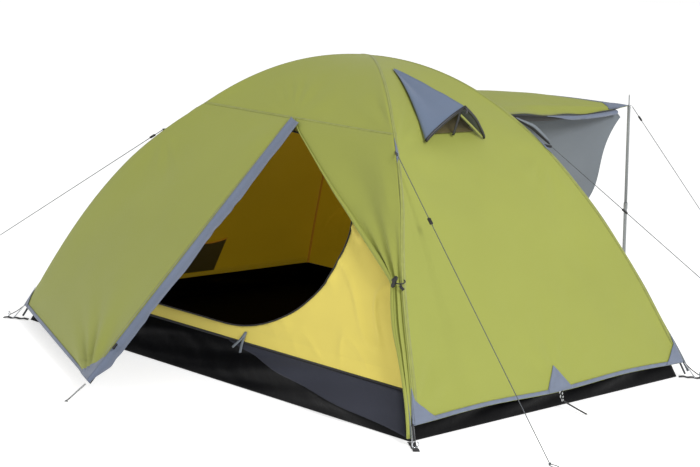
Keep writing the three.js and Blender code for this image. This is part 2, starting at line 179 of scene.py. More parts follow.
class Shader:
    """A Principled material with a few node helpers."""

    def __init__(self, name, roughness, metallic=0.0):
        self.material = bpy.data.materials.new(name)
        self.material.use_nodes = True
        self.tree = self.material.node_tree
        self.principled = self.tree.nodes["Principled BSDF"]
        self.set("Roughness", roughness)
        self.set("Metallic", metallic)
        self.place = self.tree.nodes.new("ShaderNodeTexCoord").outputs
        self.normal = None

    def feed(self, socket, value):
        """Gives a socket another node's output or a plain value."""
        if isinstance(value, bpy.types.NodeSocket):
            self.tree.links.new(value, socket)
        else:
            socket.default_value = value

    def set(self, socket, value):
        self.feed(self.principled.inputs[socket], value)

    def node(self, kind, output, inputs, **settings):
        """The output of a new node with these inputs and settings."""
        made = self.tree.nodes.new("ShaderNode" + kind)
        for name, value in settings.items():
            setattr(made, name, value)
        for socket, value in inputs.items():
            self.feed(made.inputs[socket], value)
        return made.outputs[output]

    def at(self, scale, source):
        return self.node("Mapping", "Vector", {"Scale": scale, "Vector": self.place[source]})

    def noise(self, scale, source="UV", stretch=(1, 1, 1), detail=3.0):
        place = self.at(stretch, source)
        return self.node("TexNoise", "Fac", {"Scale": scale, "Detail": detail, "Vector": place})

    def bands(self, pitch, direction):
        """Stripes a given pitch apart across a direction."""
        place = self.at((1, 1, 1), "UV")
        return self.node("TexWave", "Fac", {"Scale": pi / 10 / pitch, "Vector": place},
                         bands_direction=direction)

    def combine(self, a, b, operation):
        return self.node("Math", "Value", {0: a, 1: b}, operation=operation)

    def ramp(self, factor, stops):
        node = self.tree.nodes.new("ShaderNodeValToRGB")
        elements = node.color_ramp.elements
        for element, (position, colour) in zip(elements, stops):
            element.position = position
            element.color = (*colour, 1)
        self.feed(node.inputs["Fac"], factor)
        return node.outputs["Color"]

    def bump(self, height, distance):
        inputs = {"Distance": distance, "Strength": 1.0, "Height": height}
        if self.normal:
            inputs["Normal"] = self.normal
        self.normal = self.node("Bump", "Normal", inputs)
        self.set("Normal", self.normal)


def linear(*srgb):
    """A colour from its 0 to 255 screen values."""
    return tuple(
        c / 12.92 if c <= 0.04045 else ((c + 0.055) / 1.055) ** 2.4
        for c in (value / 255 for value in srgb)
    )


def shade(colour, by):
    return tuple(min(1.0, c * by) for c in colour)


def cloth(name, colour, roughness=0.6, thread=0.0012, weave=0.00012, spread=0.07, sheen=0.25,
          crinkle=0.0010, painted_glow=0.0, shine=0.35):
    """Woven cloth: crossing threads, soft crinkles and a slow drift of tone."""
    made = Shader(name, roughness)
    drift = made.noise(2.2, detail=4.0)
    tone = made.ramp(drift, [(0.3, shade(colour, 1 - spread)), (0.7, shade(colour, 1 + spread))])
    made.set("Base Color", tone)
    made.set("Sheen Weight", sheen)
    made.set("Sheen Roughness", 0.45)
    made.set("Specular IOR Level", shine)
    # An emission in the cloth's own tone: painted light, standing for light that comes through the cloth.
    if painted_glow:
        made.set("Emission Color", tone)
        made.set("Emission Strength", painted_glow)
    made.bump(made.noise(26.0, detail=5.0), crinkle)
    weft = made.bands(thread, "X")
    warp = made.bands(thread, "Y")
    made.bump(made.combine(weft, warp, "MULTIPLY"), weave)
    return made.material


def stitched_tape(name, colour, width, rows=(0.14, 0.86), painted_glow=0.0):
    """Ribbon with a row of stitches near each edge. V runs across its width, in metres."""
    stitch_pitch, half_thread = 0.0042, 0.0009
    made = Shader(name, 0.62)
    across = made.node("SeparateXYZ", "Y", {"Vector": made.place["UV"]})
    dashes = made.combine(made.bands(stitch_pitch, "X"), 0.38, "GREATER_THAN")
    line = 0.0
    for row in rows:
        away = made.combine(across, row * width, "SUBTRACT")
        away = made.combine(away, 0, "ABSOLUTE")
        line = made.combine(made.combine(away, half_thread, "LESS_THAN"), line, "ADD")
    stitches = made.combine(dashes, line, "MULTIPLY")
    drift = made.ramp(made.noise(30.0), [(0.3, shade(colour, 0.9)), (0.7, shade(colour, 1.1))])
    blend = made.tree.nodes.new("ShaderNodeMix")
    blend.data_type = "RGBA"
    for socket, value in (("Factor", stitches), ("A", drift), ("B", (*shade(colour, 0.42), 1))):
        made.feed(blend.inputs[socket], value)
    made.set("Base Color", blend.outputs["Result"])
    made.set("Sheen Weight", 0.2)
    # An emission in the tape's own colour: painted light.
    made.set("Emission Color", (*colour, 1))
    made.set("Emission Strength", painted_glow)
    made.bump(made.bands(0.0016, "X"), 0.00012)
    made.bump(stitches, 0.0005)
    return made.material


def braid(name, colour, light, pitch, share=0.5):
    """Braided cord or webbing: slanting strands of two tones."""
    made = Shader(name, 0.75)
    strands = made.bands(pitch, "DIAGONAL")
    tone = made.ramp(strands, [(share - 0.1, colour), (share + 0.1, light)])
    made.set("Base Color", tone)
    made.set("Sheen Weight", 0.15)
    made.bump(strands, 0.0004)
    made.bump(made.noise(900.0), 0.0001)
    return made.material


def moulded(name, colour, roughness, grain=0.00006):
    """Moulded plastic with a fine grain and a faintly uneven tone."""
    made = Shader(name, roughness)
    drift = made.noise(70.0, "Object")
    made.set("Base Color", made.ramp(drift, [(0.3, shade(colour, 0.85)), (0.7, shade(colour, 1.2))]))
    made.bump(made.noise(1400.0, "Object"), grain)
    return made.material


def metal(name, colour, roughness, coated=0.0, metallic=1.0):
    """Drawn metal: scratches along the length and a slight change of tone."""
    made = Shader(name, roughness, metallic)
    drift = made.noise(40.0, "Object", (1, 1, 0.1))
    made.set("Base Color", made.ramp(drift, [(0.35, shade(colour, 0.82)), (0.65, shade(colour, 1.1))]))
    scratches = made.noise(300.0, "Object", (1, 1, 0.03))
    gloss = [(0.3, (roughness * 0.8,) * 3), (0.7, (min(1.0, roughness * 1.3),) * 3)]
    made.set("Roughness", made.ramp(scratches, gloss))
    made.set("Coat Weight", coated)
    made.bump(made.noise(500.0, "Object", (1, 1, 0.02)), 0.00003)
    return made.material


GREEN = linear(150, 156, 70)
TRIM_BLUE = linear(108, 118, 138)
YELLOW = linear(224, 206, 98)

MAT = {
    "fly": cloth("fly_green", GREEN, sheen=0.12, crinkle=0.0003, spread=0.03),
    "lining": cloth("fly_grey_lining", linear(112, 119, 126), 0.5, sheen=0.1, crinkle=0.0004),
    "trim": cloth("trim_cloth", TRIM_BLUE, 0.6, spread=0.1, crinkle=0.0016),
    "inner": cloth("inner_yellow", YELLOW, 0.7, crinkle=0.0006, spread=0.04),
    # The inner face of the same yellow cloth, painted darker and deeper as shade and glowing as painted
    # light that comes through the cloth.
    "inside": cloth("inner_inside_painted_shade_light", linear(178, 146, 20), 0.75, crinkle=0.0004, painted_glow=0.20),
    "tub": cloth("groundsheet_black", linear(9, 9, 11), 0.42, thread=0.003, weave=0.0002,
                 sheen=0.0, crinkle=0.0016, shine=0.10),
    # The mesh glows a little: painted light that lifts the pocket and vent mesh out of their shade.
    "mesh": cloth("dark_mesh_painted_light", linear(78, 68, 24), 0.9, thread=0.003, weave=0.0012, painted_glow=0.10),
    "hem": stitched_tape("hem_tape", TRIM_BLUE, 0.014),
    "patch": stitched_tape("patch_cloth", TRIM_BLUE, 0.01, rows=(0.4,)),
    "seam": stitched_tape("seam_tape", shade(GREEN, 0.9), 0.012),
    # The inner seam tape glows: painted light on tape that lies in the shade inside the tent.
    "inner_seam": stitched_tape("inner_seam_tape_painted_light", linear(162, 112, 24), 0.016, painted_glow=0.25),
    "floor": cloth("floor_black", linear(8, 8, 10), 0.9, thread=0.003, sheen=0.0, crinkle=0.0010,
                   shine=0.05),
    # A lighter grey-blue copy of the black groundsheet cloth: painted sheen, standing for light off the
    # tub's slumped facet.
    "painted_sheen": cloth("painted_sheen_grey", linear(50, 52, 62), 0.6, sheen=0.0, crinkle=0.0014, shine=0.2),
    "hood": cloth("hood_cloth", linear(104, 118, 142), 0.6, crinkle=0.0005),
    "zip": braid("zip_tape", linear(14, 14, 15), linear(30, 30, 32), 0.0022),
    "webbing": braid("black_webbing", linear(18, 18, 20), linear(42, 42, 46), 0.0030),
    "cord": braid("guy_cord", linear(44, 48, 54), linear(110, 116, 122), 0.0034, share=0.6),
    "bungee": braid("striped_elastic", linear(16, 17, 18), linear(196, 198, 198), 0.0075, share=0.55),
    "plastic": moulded("black_plastic", linear(22, 22, 23), 0.42),
    "steel": metal("bright_steel", linear(205, 208, 212), 0.22),
    "pole_steel": metal("grey_pole_steel", linear(134, 138, 140), 0.42, 0.2, 0.2),
    "ferrule": metal("ferrule_steel", linear(170, 172, 174), 0.35),
    "fibreglass": moulded("fibreglass_rod", linear(52, 56, 60), 0.35, 0.00003),
}

WEBBING = "tent", "webbing", "webbing"

# ---------------------------------------------------------------- mesh building


def smooth_faces(mesh):
    for polygon in mesh.polygons:
        polygon.use_smooth = True


def put(name, mesh, body, slot, *materials, replaces=()):
    """A finished piece: in the scene, riding on a body, and standing for CAD nodes."""
    made = bpy.data.objects.new(name, mesh)
    bpy.context.collection.objects.link(made)
    for material in materials:
        mesh.materials.append(MAT[material])
    smooth_faces(mesh)
    if body:
        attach(made, body)
    if replaces:
        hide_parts(*replaces)
    return made


def grid_mesh(name, rows, flip=False):
    """A mesh through rows of points, its UVs in metres along and across them."""
    height, width = len(rows), len(rows[0])
    vertices = [point for row in rows for point in row]
    across = distances(rows[height // 2])
    down = distances([row[width // 2] for row in rows])
    faces = []
    for i in range(height - 1):
        for j in range(width - 1):
            face = (i * width + j, (i + 1) * width + j, (i + 1) * width + j + 1, i * width + j + 1)
            faces.append(face[::-1] if flip else face)
    mesh = bpy.data.meshes.new(name)
    mesh.from_pydata(vertices, [], faces)
    layer = mesh.uv_layers.new(name="UVMap")
    for loop in mesh.loops:
        i, j = divmod(loop.vertex_index, width)
        layer.data[loop.index].uv = (down[i], across[j])
    mesh.validate()
    return mesh


def spaced(count, low=0.0, high=1.0):
    return [low + (high - low) * k / count for k in range(count + 1)]


def sampled(surface, rows, columns):
    return [[surface(a, b) for b in columns] for a in rows]


def normal_at(surface, a, b):
    """The surface's outward normal: its first direction crossed with its second."""
    step = 0.004
    down = surface(min(1, a + step), b) - surface(max(0, a - step), b)
    across = surface(a, min(1, b + step)) - surface(a, max(0, b - step))
    return down.cross(across).normalized()


def lifted(surface, lift):
    return lambda a, b: surface(a, b) + normal_at(surface, a, b) * lift


def part_of(surface, a0, a1, b0, b1):
    return lambda a, b: surface(mix(a0, a1, a), mix(b0, b1, b))


def thicken(piece, thickness, inner=0):
    """Gives a sheet its thickness on the inner side, with another material there."""
    solid = piece.modifiers.new("cloth", "SOLIDIFY")
    solid.thickness = thickness
    solid.offset = -1
    solid.material_offset = inner
    solid.use_even_offset = False
    return piece


def cloth_sheet(name, points, body, slot, materials, replaces, held="stretched", flip=False,
                thickness=0.0008):
    """A sheet of cloth through rows of points."""
    piece = put(name, grid_mesh(name, points, flip), body, slot, *materials, replaces=replaces)
    thicken(piece, thickness, len(materials) - 1)
    return piece


def panel(name, surface, rows, columns, body, slot, materials, replaces=(), **kind):
    """A sheet of cloth over a surface."""
    return cloth_sheet(name, sampled(surface, rows, columns), body, slot, materials, replaces, **kind)


def sewn(name, points, body, slot, material, thickness, flip=False):
    """A small strip or patch of one material through rows of points."""
    return thicken(put(name, grid_mesh(name, points, flip), body, slot, material), thickness)


def trim(name, surface, rows, columns, body, slot, material, lift, thickness=0.0006):
    """A narrow strip or patch sewn onto a surface."""
    return sewn(name, sampled(lifted(surface, lift), rows, columns), body, slot, material, thickness)


def headings(path):
    """The direction of the path at each of its points."""
    last = len(path) - 1
    return [(path[min(k + 1, last)] - path[max(k - 1, 0)]).normalized() for k in range(last + 1)]


def tube_rows(path, radius, sides, squash):
    """Rings of points round a path, with a radius that may be a function of the share along it."""
    rows = []
    for k, (point, ahead) in enumerate(zip(path, headings(path))):
        side = ahead.cross(UP)
        if side.length < 0.05:
            side = ahead.cross(xyz(1, 0, 0))
        side.normalize()
        top = side.cross(ahead)
        r = radius(k / (len(path) - 1)) if callable(radius) else radius
        rows.append([point + side * r * x + top * r * squash * y for x, y in circle(sides)])
    return rows


def skin(name, rows, along, sizes, closed):
    """A body through rings of points, capped at its ends or closed on itself. Each ring's last
    point repeats its first. UVs take the given distances along and side lengths round."""
    made = bmesh.new()
    rings = [[made.verts.new(point) for point in row[:-1]] for row in rows]
    layer = made.loops.layers.uv.new("UVMap")
    count = len(rings[0])
    for k in range(len(along) - 1):
        following = rings[(k + 1) % len(rings)]
        for s in range(count):
            n = (s + 1) % count
            face = made.faces.new((rings[k][s], following[s], following[n], rings[k][n]))
            corners = ((k, s), (k + 1, s), (k + 1, s + 1), (k, s + 1))
            for loop, (u, v) in zip(face.loops, corners):
                loop[layer].uv = (along[u], v * sizes[k])
    if not closed:
        made.faces.new(rings[0])
        made.faces.new(rings[-1][::-1])
    bmesh.ops.recalc_face_normals(made, faces=made.faces)
    mesh = bpy.data.meshes.new(name)
    made.to_mesh(mesh)
    made.free()
    return mesh


def solid_from(rows, name):
    """A closed body from rings whose last point repeats the first."""
    along = distances([row[0] for row in rows])
    return skin(name, rows, along, [(row[1] - row[0]).length for row in rows], False)


def tube(name, path, radius, body, slot, material, sides=10, squash=1.0):
    return put(name, solid_from(tube_rows(path, radius, sides, squash), name), body, slot, material)


def loop_path(centre, one, other, count=28):
    """A closed ring of points on the ellipse with these half axes."""
    return [centre + one * x + other * y for x, y in circle(count)[:-1]]


def ring(name, path, radius, body, slot, material, sides=8, replaces=()):
    """A closed tube round a closed path."""
    count = len(path)
    middle = sum(path, Vector()) / count
    rows = []
    for k, point in enumerate(path):
        ahead = (path[(k + 1) % count] - path[k - 1]).normalized()
        side = square_to(ahead, point - middle)
        top = ahead.cross(side)
        rows.append([point + side * radius * x + top * radius * y for x, y in circle(sides)])
    step = (path[1] - path[0]).length
    mesh = skin(name, rows, [k * step for k in range(count + 1)], [radius] * count, True)
    return put(name, mesh, body, slot, material, replaces=replaces)


def lathe(name, profile, foot, head, body, slot, material, replaces=()):
    """A turned body on the axis from foot to head: profile is (radius, height) pairs."""
    up = (head - foot).normalized()
    side = up.orthogonal().normalized()
    front = up.cross(side)
    rows = [[foot + up * height + (side * x + front * y) * max(radius, 1e-5) for x, y in circle(28)]
            for radius, height in profile]
    return put(name, solid_from(rows, name), body, slot, material, replaces=replaces)


def strap(name, path, wide, width, thickness, body, slot, material, replaces=()):
    """Flat webbing along a path, its width along `wide`, with a soft rounded section."""
    w, t = width / 2, thickness / 2
    flat = w * 0.94
    section = [(-w, 0), (-flat, -t), (0, -t), (flat, -t), (w, 0), (flat, t), (0, t), (-flat, t), (-w, 0)]
    rows = []
    for point, ahead in zip(path, headings(path)):
        side = square_to(ahead, wide)
        out = ahead.cross(side)
        rows.append([point + side * x + out * y for x, y in section])
    return put(name, solid_from(rows, name), body, slot, material, replaces=replaces)


def curve_points(points, count):
    """Points spread evenly along the smooth curve through the given ones."""
    fine = []
    last = len(points) - 1
    for k in range(last):
        before = points[max(k - 1, 0)]
        a, b = points[k], points[k + 1]
        after = points[min(k + 2, last)]
        for t in spaced(24)[:-1]:
            fine.append((
                a * 2 + (b - before) * t + (before * 2 - a * 5 + b * 4 - after) * t * t
                + (a * 3 - before - b * 3 + after) * t * t * t
            ) / 2)
    fine.append(points[-1])
    lengths = distances(fine)
    made = []
    k = 0
    for target in spaced(count - 1, 0, lengths[-1]):
        while k < len(fine) - 2 and lengths[k + 1] < target:
            k += 1
        step = lengths[k + 1] - lengths[k]
        made.append(mix(fine[k], fine[k + 1], min(1.0, (target - lengths[k]) / step)))
    return made


# ---------------------------------------------------------------- free cords


def metres(points):
    return [Vector(point) / 1000 for point in points]


GUY_DIAMETER, ELASTIC_DIAMETER = 0.003, 0.006
GUYS = {
    "front_left": [(-640, -492, 830), (-1808, -831, 3)],
    "front_right": [(597, -457, 893), (1498, -620, 3)],
    "rear_right": [(596, 457, 882), (1673, 1004, 3)],
    "rear_left": [(-600, 468, 872), (-1671, 1008, 3)],
    "awning": [(103, 1714, 950), (581, 2300, 3)],
}
PEG_LOOP = [(3, -1352, 42), (12, -1388, 28), (22, -1424, 14), (32, -1456, 3.5)]


def cord_curve(name, path, diameter, body, material, *nodes):
    data = bpy.data.curves.new(name, "CURVE")
    data.dimensions = "3D"
    data.bevel_depth = diameter / 2
    data.bevel_resolution = 3
    data.use_fill_caps = True
    spline = data.splines.new("POLY")
    spline.points.add(len(path) - 1)
    for place, point in zip(spline.points, path):
        place.co = (*point, 1)
    data.materials.append(MAT[material])
    piece = bpy.data.objects.new(name, data)
    bpy.context.collection.objects.link(piece)
    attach(piece, body)
    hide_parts(*nodes)
    return piece


def rounded_block(name, centre, along, out, size, body, replaces):
    """A small block of moulded plastic, rounded at its edges: size is length, width, thickness."""
    length, width, thick = size
    side = along.cross(out).normalized()
    out = side.cross(along).normalized()
    rows = []
    for t in spaced(12, -1, 1):
        end = 1 - max(0.0, abs(t) - 0.7) ** 2 / 0.09 * 0.35
        waist = 1 - 0.16 * cos(pi * t / 2)
        row = []
        for c, d in circle(16):
            x = copysign(abs(c) ** 0.5, c) * width / 2 * end * waist
            y = copysign(abs(d) ** 0.5, d) * thick / 2 * end
            row.append(centre + along * t * length / 2 + side * x + out * y)
        rows.append(row)
    return put(name, solid_from(rows, name), body, "black_plastic", "plastic", replaces=replaces)


def guy_line(name, route, body):
    """A taut line with its slider, a knotted peg loop on the ground and a tab at the ridge."""
    path = curve_points(metres(route), 22)
    along = (path[-1] - path[0]).normalized()
    side = along.cross(UP).normalized()
    out = side.cross(along)
    runner = f"{name}_guy_runner"
    slider = rounded_block(f"{name}_slider", box_middle(runner), along, out, (0.027, 0.0145, 0.0085),
                           f"{name}_runner", (runner,))
    line = cord_curve(f"{name}_line", path, GUY_DIAMETER, body, "cord", f"{name}_guy_line")
    knot = path[-1] + xyz(0, 0, 0.001)
    flat = xyz(along.x, along.y, 0).normalized()
    across = xyz(-flat.y, flat.x, 0)
    peg_loop = ring(f"{name}_peg_loop", loop_path(knot + flat * 0.020, flat * 0.022, across * 0.011),
                    GUY_DIAMETER / 2, body, "cord", "cord")
    tie = ring(f"{name}_knot", loop_path(knot - along * 0.004, side * 0.0032, out * 0.0032, 12),
               0.0024, body, "cord", "cord")
    if name in CORNERS:
        root = ridge(FLY, CORNERS[name], share_at(FLY, path[0].z)) * 0.985
        root.z = path[0].z + 0.004
        strap(f"{name}_guy_tab", [mix(root, path[0], t) for t in spaced(6)], UP, 0.010, 0.0018, "tent",
              "webbing", "webbing")


for guy_name, guy_route in GUYS.items():
    guy_line(guy_name, guy_route, "awning_guy" if guy_name == "awning" else "tent")


def front_peg_loop():
    path = curve_points(metres(PEG_LOOP), 16)
    line = cord_curve("front_elastic", path, ELASTIC_DIAMETER, "front_canopy", "bungee",
                      "front_peg_loop")
    knot_path = loop_path(path[-1], xyz(0.004, 0, 0), xyz(0, 0.004, 0), 12)
    knot = ring("front_elastic_knot", knot_path, ELASTIC_DIAMETER / 2, "front_canopy", "cord", "bungee")


front_peg_loop()

# ---------------------------------------------------------------- walls of cloth

RIDGE_RADIUS = 0.016
CORNER_BAND = 0.04
TIE_PULL, TIE_REACH = 0.026, 0.19


def drawn(layer, corner, share):
    """A fly ridge's own line: the front right one is drawn forward where the door is tied to it."""
    place = ridge(layer, corner, share)
    if layer is FLY and corner == FRONT_RIGHT and abs(share - TIE_BACK) < TIE_REACH:
        place.y -= TIE_PULL * cos(pi / 2 * (share - TIE_BACK) / TIE_REACH) ** 2
    return place


def wall_point(layer, a, b, share, across):
    """A point of the wall between two ridges, rounded where it turns over them, and its normal."""
    left, right = drawn(layer, a, share), drawn(layer, b, share)
    width = (right - left).length
    along = (right - left).normalized()
    out = xyz(along.y, -along.x, 0)
    r = min(RIDGE_RADIUS if layer is FLY else 0.003, width * 0.3)
    if CORNER_BAND < across < 1 - CORNER_BAND:
        t = (across - CORNER_BAND) / (1 - 2 * CORNER_BAND)
        return left + along * mix(r, width - r, t), out
    end = across >= 0.5
    corner, inward = (right, -along) if end else (left, along)
    near = (1 - across if end else across) / CORNER_BAND
    angle = pi / 4 * (1 - near)
    turn = out * cos(angle) - inward * sin(angle)
    return corner + inward * r - out * r + turn * r, turn


def ripple(place, seed, size):
    return noise.noise(xyz(place.x * size + seed, place.y * size - seed, place.z * size))


def puckers(place, stress):
    """Radial creases that run out from sewn and pulled points."""
    total = 0.0
    for origin, height, reach, folds, phase in stress:
        away = place - origin
        distance = away.length
        if distance > 3 * reach or distance < 1e-4:
            continue
        angle = atan2(away.z, away.x + away.y)
        fade = exp(-((distance / reach) ** 2)) * smooth(0.05, 0.19, distance)
        total += height * fade * cos(folds * angle + phase)
    return total


class Wall:
    """One wall of a layer: its shape, its sag and its creases."""

    def __init__(self, layer, a, b, seed, sag, rumple, stress=(), swag=0.0):
        self.layer, self.a, self.b, self.seed = layer, a, b, seed
        self.sag, self.rumple, self.stress, self.swag = sag, rumple, stress, swag

    def __call__(self, share, across):
        hung = smooth(0.8, HEM, share) * self.swag * (0.5 - 0.5 * cos(4 * pi * across))
        place, out = wall_point(self.layer, self.a, self.b, share - hung, across)
        free = sin(pi * min(1.0, max(0.0, across))) ** 0.7
        depth = -self.sag * free * sin(pi * min(1.0, share / HEM)) ** 0.6
        rough = smooth(0.0, 0.1, across) * smooth(0.0, 0.1, 1 - across) * smooth(0.0, 0.15, share)
        depth += self.rumple * rough * ripple(place, self.seed, 3.1)
        depth += self.rumple * 0.45 * rough * ripple(place, self.seed + 5, 8.5)
        inside = smooth(0.0, 0.03, across) * smooth(0.0, 0.03, 1 - across)
        depth += puckers(place, self.stress) * inside
        lift = xyz(out.x, out.y, 0.35).normalized()
        return place + lift * depth


def columns_of(count):
    """Columns across a wall, close together where it turns over the ridges."""
    turn = [0, 0.008, 0.016, 0.024, 0.032]
    middle = spaced(count, CORNER_BAND, 1 - CORNER_BAND)
    return turn + middle + [1 - c for c in reversed(turn)]


GUY_SHARE = {name: share_at(FLY, GUYS[name][0][2] / 1000) for name in CORNERS}
LEFT_GUY = ridge(FLY, FRONT_LEFT, GUY_SHARE["front_left"])
RIGHT_GUY = ridge(FLY, FRONT_RIGHT, GUY_SHARE["front_right"])
REAR_GUY = ridge(FLY, REAR_RIGHT, GUY_SHARE["rear_right"])


def foot_of(corner):
    return ridge(FLY, corner, HEM)


RIGHT_WALL = Wall(FLY, FRONT_RIGHT, REAR_RIGHT, 1.7, sag=0.010, rumple=0.006, swag=0.0035, stress=[
    (RIGHT_GUY, 0.006, 0.24, 9, 0.4),
    (REAR_GUY, 0.005, 0.22, 8, 1.2),
    (foot_of(FRONT_RIGHT), 0.006, 0.26, 9, 0.2),
    (foot_of(REAR_RIGHT), 0.006, 0.26, 8, 2.2),
    (mix(foot_of(FRONT_RIGHT), foot_of(REAR_RIGHT), 0.5), 0.004, 0.20, 11, 0.0),
])
LEFT_WALL = Wall(FLY, REAR_LEFT, FRONT_LEFT, 8.3, sag=0.010, rumple=0.006, swag=0.0035, stress=[
    (LEFT_GUY, 0.006, 0.24, 9, 0.8),
    (foot_of(FRONT_LEFT), 0.006, 0.26, 9, 0.5),
    (foot_of(REAR_LEFT), 0.006, 0.26, 8, 1.9),
])
FRONT_ROOF = Wall(FLY, FRONT_LEFT, FRONT_RIGHT, 4.4, sag=0.008, rumple=0.005, stress=[
    (FRONT_ZIP_TOP, 0.005, 0.16, 13, 0.0),
    (ridge(FLY, FRONT_RIGHT, EAVE), 0.006, 0.22, 9, 0.9),
    (ridge(FLY, FRONT_LEFT, EAVE), 0.005, 0.20, 9, 0.4),
])
REAR_ROOF = Wall(FLY, REAR_RIGHT, REAR_LEFT, 6.1, sag=0.008, rumple=0.005, stress=[
    (REAR_ZIP_TOP, 0.005, 0.16, 13, 0.6),
    (ridge(FLY, REAR_RIGHT, EAVE), 0.006, 0.22, 9, 0.1),
])
TOP = 0.004

for fly_name, fly_wall, fly_low, fly_rows, fly_columns, fly_node in (
    ("right_fly", RIGHT_WALL, HEM, 96, 84, "fly_right_side"),
    ("left_fly", LEFT_WALL, HEM, 64, 48, "fly_left_side"),
    ("front_roof", FRONT_ROOF, EAVE, 56, 84, "fly_front_roof"),
    ("rear_roof", REAR_ROOF, EAVE, 48, 48, "fly_rear_roof"),
):
    panel(fly_name, fly_wall, spaced(fly_rows, TOP, fly_low), columns_of(fly_columns), "tent",
          "fly_cloth", ("fly", "lining"), (fly_node,))


SEAM_BAND = 0.046
PATCH_THICK = 0.0012


def seams():
    """Taped seams along the ridges and across the top of each vestibule."""
    for name, wall_of, low in (("right", RIGHT_WALL, HEM), ("left", LEFT_WALL, HEM)):
        for side, edge in (("near", 0.0), ("far", 1.0)):
            band = sorted((edge, abs(edge - SEAM_BAND)))
            trim(f"{name}_{side}_ridge_seam", part_of(wall_of, 0.03, low, *band), spaced(90), spaced(6),
                 "tent", "fly_cloth", "seam", lift=0.0008)
    for name, wall_of in (("front", FRONT_ROOF), ("rear", REAR_ROOF)):
        face = part_of(wall_of, EAVE - 0.006, EAVE, 0.0, 1.0)
        trim(f"{name}_cross_seam", face, spaced(2), columns_of(70), "tent", "fly_cloth", "seam",
             lift=0.0009)


def hem_tapes():
    for name, wall_of in (("right", RIGHT_WALL), ("left", LEFT_WALL)):
        face = part_of(wall_of, HEM - 0.0055, HEM, 0.0, 1.0)
        trim(f"{name}_hem_tape", face, spaced(3), columns_of(84), "tent", "trim_cloth", "hem",
             lift=0.0024, thickness=PATCH_THICK)


seams()
hem_tapes()


def triangle_on(name, surface, tip, left, right, body="tent", lift=0.0030, material="patch"):
    """A three-cornered patch on a surface, its corners given as that surface's own shares."""
    def face(a, b):
        share, across = (mix(mix(left[k], right[k], b), tip[k], 1 - a) for k in (0, 1))
        return lifted(surface, lift)(share, across)
    rows = sampled(face, spaced(22, 0.02, 1), spaced(18))
    return sewn(name, rows, body, "trim_cloth", material, PATCH_THICK)


def patches():
    """Reinforcements where the fly is pegged and where its guy lines are tied."""
    walls = (("right", RIGHT_WALL, ("front_right", "rear_right")),
             ("left", LEFT_WALL, ("rear_left", "front_left")))
    for name, wall_of, ends in walls:
        for end, corner in enumerate(ends):
            sign = 1 - 2 * end
            u = GUY_SHARE[corner]
            triangle_on(f"{corner}_guy_patch", wall_of, (u - 0.044, end + sign * 0.004),
                        (u + 0.026, end + sign * 0.002), (u + 0.004, end + sign * 0.040))
            triangle_on(f"{corner}_corner_patch", wall_of, (HEM - 0.048, end + sign * 0.002),
                        (HEM - 0.001, end + sign * 0.001), (HEM - 0.001, end + sign * 0.105))
        triangle_on(f"{name}_middle_patch", wall_of, (HEM - 0.038, 0.5), (HEM - 0.001, 0.456),
                    (HEM - 0.001, 0.544))


patches()

# ---------------------------------------------------------------- front, left half


BELLY, BELLY_REACH = 0.034, 0.22


def front_half(a, b):
    """Closed half of the front vestibule: b is 0 along the ridge and 1 along the zip."""
    edge = ridge(FLY, FRONT_LEFT, mix(EAVE, HEM, a))
    zip_edge = mix(FRONT_ZIP_TOP + xyz(0, 0.002, 0.004), FRONT_TIP, a)
    place = mix(edge, zip_edge, b)
    bow = sin(pi * b) * sin(pi * min(1, a * 1.02))
    out = xyz(-0.55, -0.62, 0.56)
    belly = BELLY * sin(pi * min(1.0, a)) * exp(-((b / BELLY_REACH) ** 2))
    belly *= smooth(0, 0.03, b)
    depth = 0.010 * bow + belly
    depth += 0.006 * bow * ripple(place, 3.3, 2.6) + 0.004 * bow * ripple(place, 9.3, 7.0)
    depth += puckers(place, FRONT_STRESS) * smooth(0, 0.05, b) * smooth(0, 0.04, 1 - b)
    return mix(FRONT_ROOF(EAVE - 0.001, b / 2), place + out * depth, smooth(0, 0.05, a))


FRONT_STRESS = [
    (FRONT_TIP, 0.010, 0.42, 9, 0.3),
    (FRONT_ZIP_TOP, 0.006, 0.22, 12, 0.8),
    (foot_of(FRONT_LEFT), 0.005, 0.24, 9, 0.0),
    (LEFT_GUY, 0.005, 0.22, 8, 0.6),
]

front_cloth = panel("front_left_fly", front_half, spaced(84), spaced(72), None, "fly_cloth",
                    ("fly", "lining"), ("front_canopy", "front_side_panel"))


def ridge_lap():
    """The wall's seam allowance, lapped under the edge of the closed half."""
    proud = xyz(-0.6, -0.6, 0.5).normalized() * 0.0016
    rows = [[mix(LEFT_WALL(u, 0.996), front_half((u - EAVE) / (HEM - EAVE), 0.004), t) + proud
             for t in spaced(4)] for u in spaced(70, EAVE + 0.02, HEM - 0.001)]
    sewn("front_left_ridge_lap", rows, "tent", "fly_cloth", "fly", PATCH_THICK)


ridge_lap()


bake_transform(front_cloth)


ZIP_RADIUS = 0.0028


def no_sag(a):
    return 0.0


def flap_strip(top, tip, drop, width, wave, sag=no_sag):
    """A wavy strip of cloth along a zip's edge, from its top to its tip."""
    def face(a, b):
        base = mix(top, tip, a) - xyz(0, 0, sag(a))
        ahead = (tip - top).normalized()
        out = drop.cross(ahead).normalized()
        puff = sin(pi * b) * 0.008
        puff += wave * sin(a * 23 + 1) * b * sin(pi * a)
        puff += wave * 0.6 * noise.noise(xyz(a * 16, b * 2, top.y)) * b
        puff += wave * 0.7 * b * sum(
            sin(110 * (a - place)) * exp(-(((a - place) / 0.035) ** 2))
            for place in (0.34, 0.44, 0.75, 0.91))
        taper = mix(0.95, 1.0, smooth(0, 0.12, a)) * mix(1.0, 0.35, smooth(0.92, 1.0, a))
        return base + drop * (b * width * taper) + out * puff
    return face


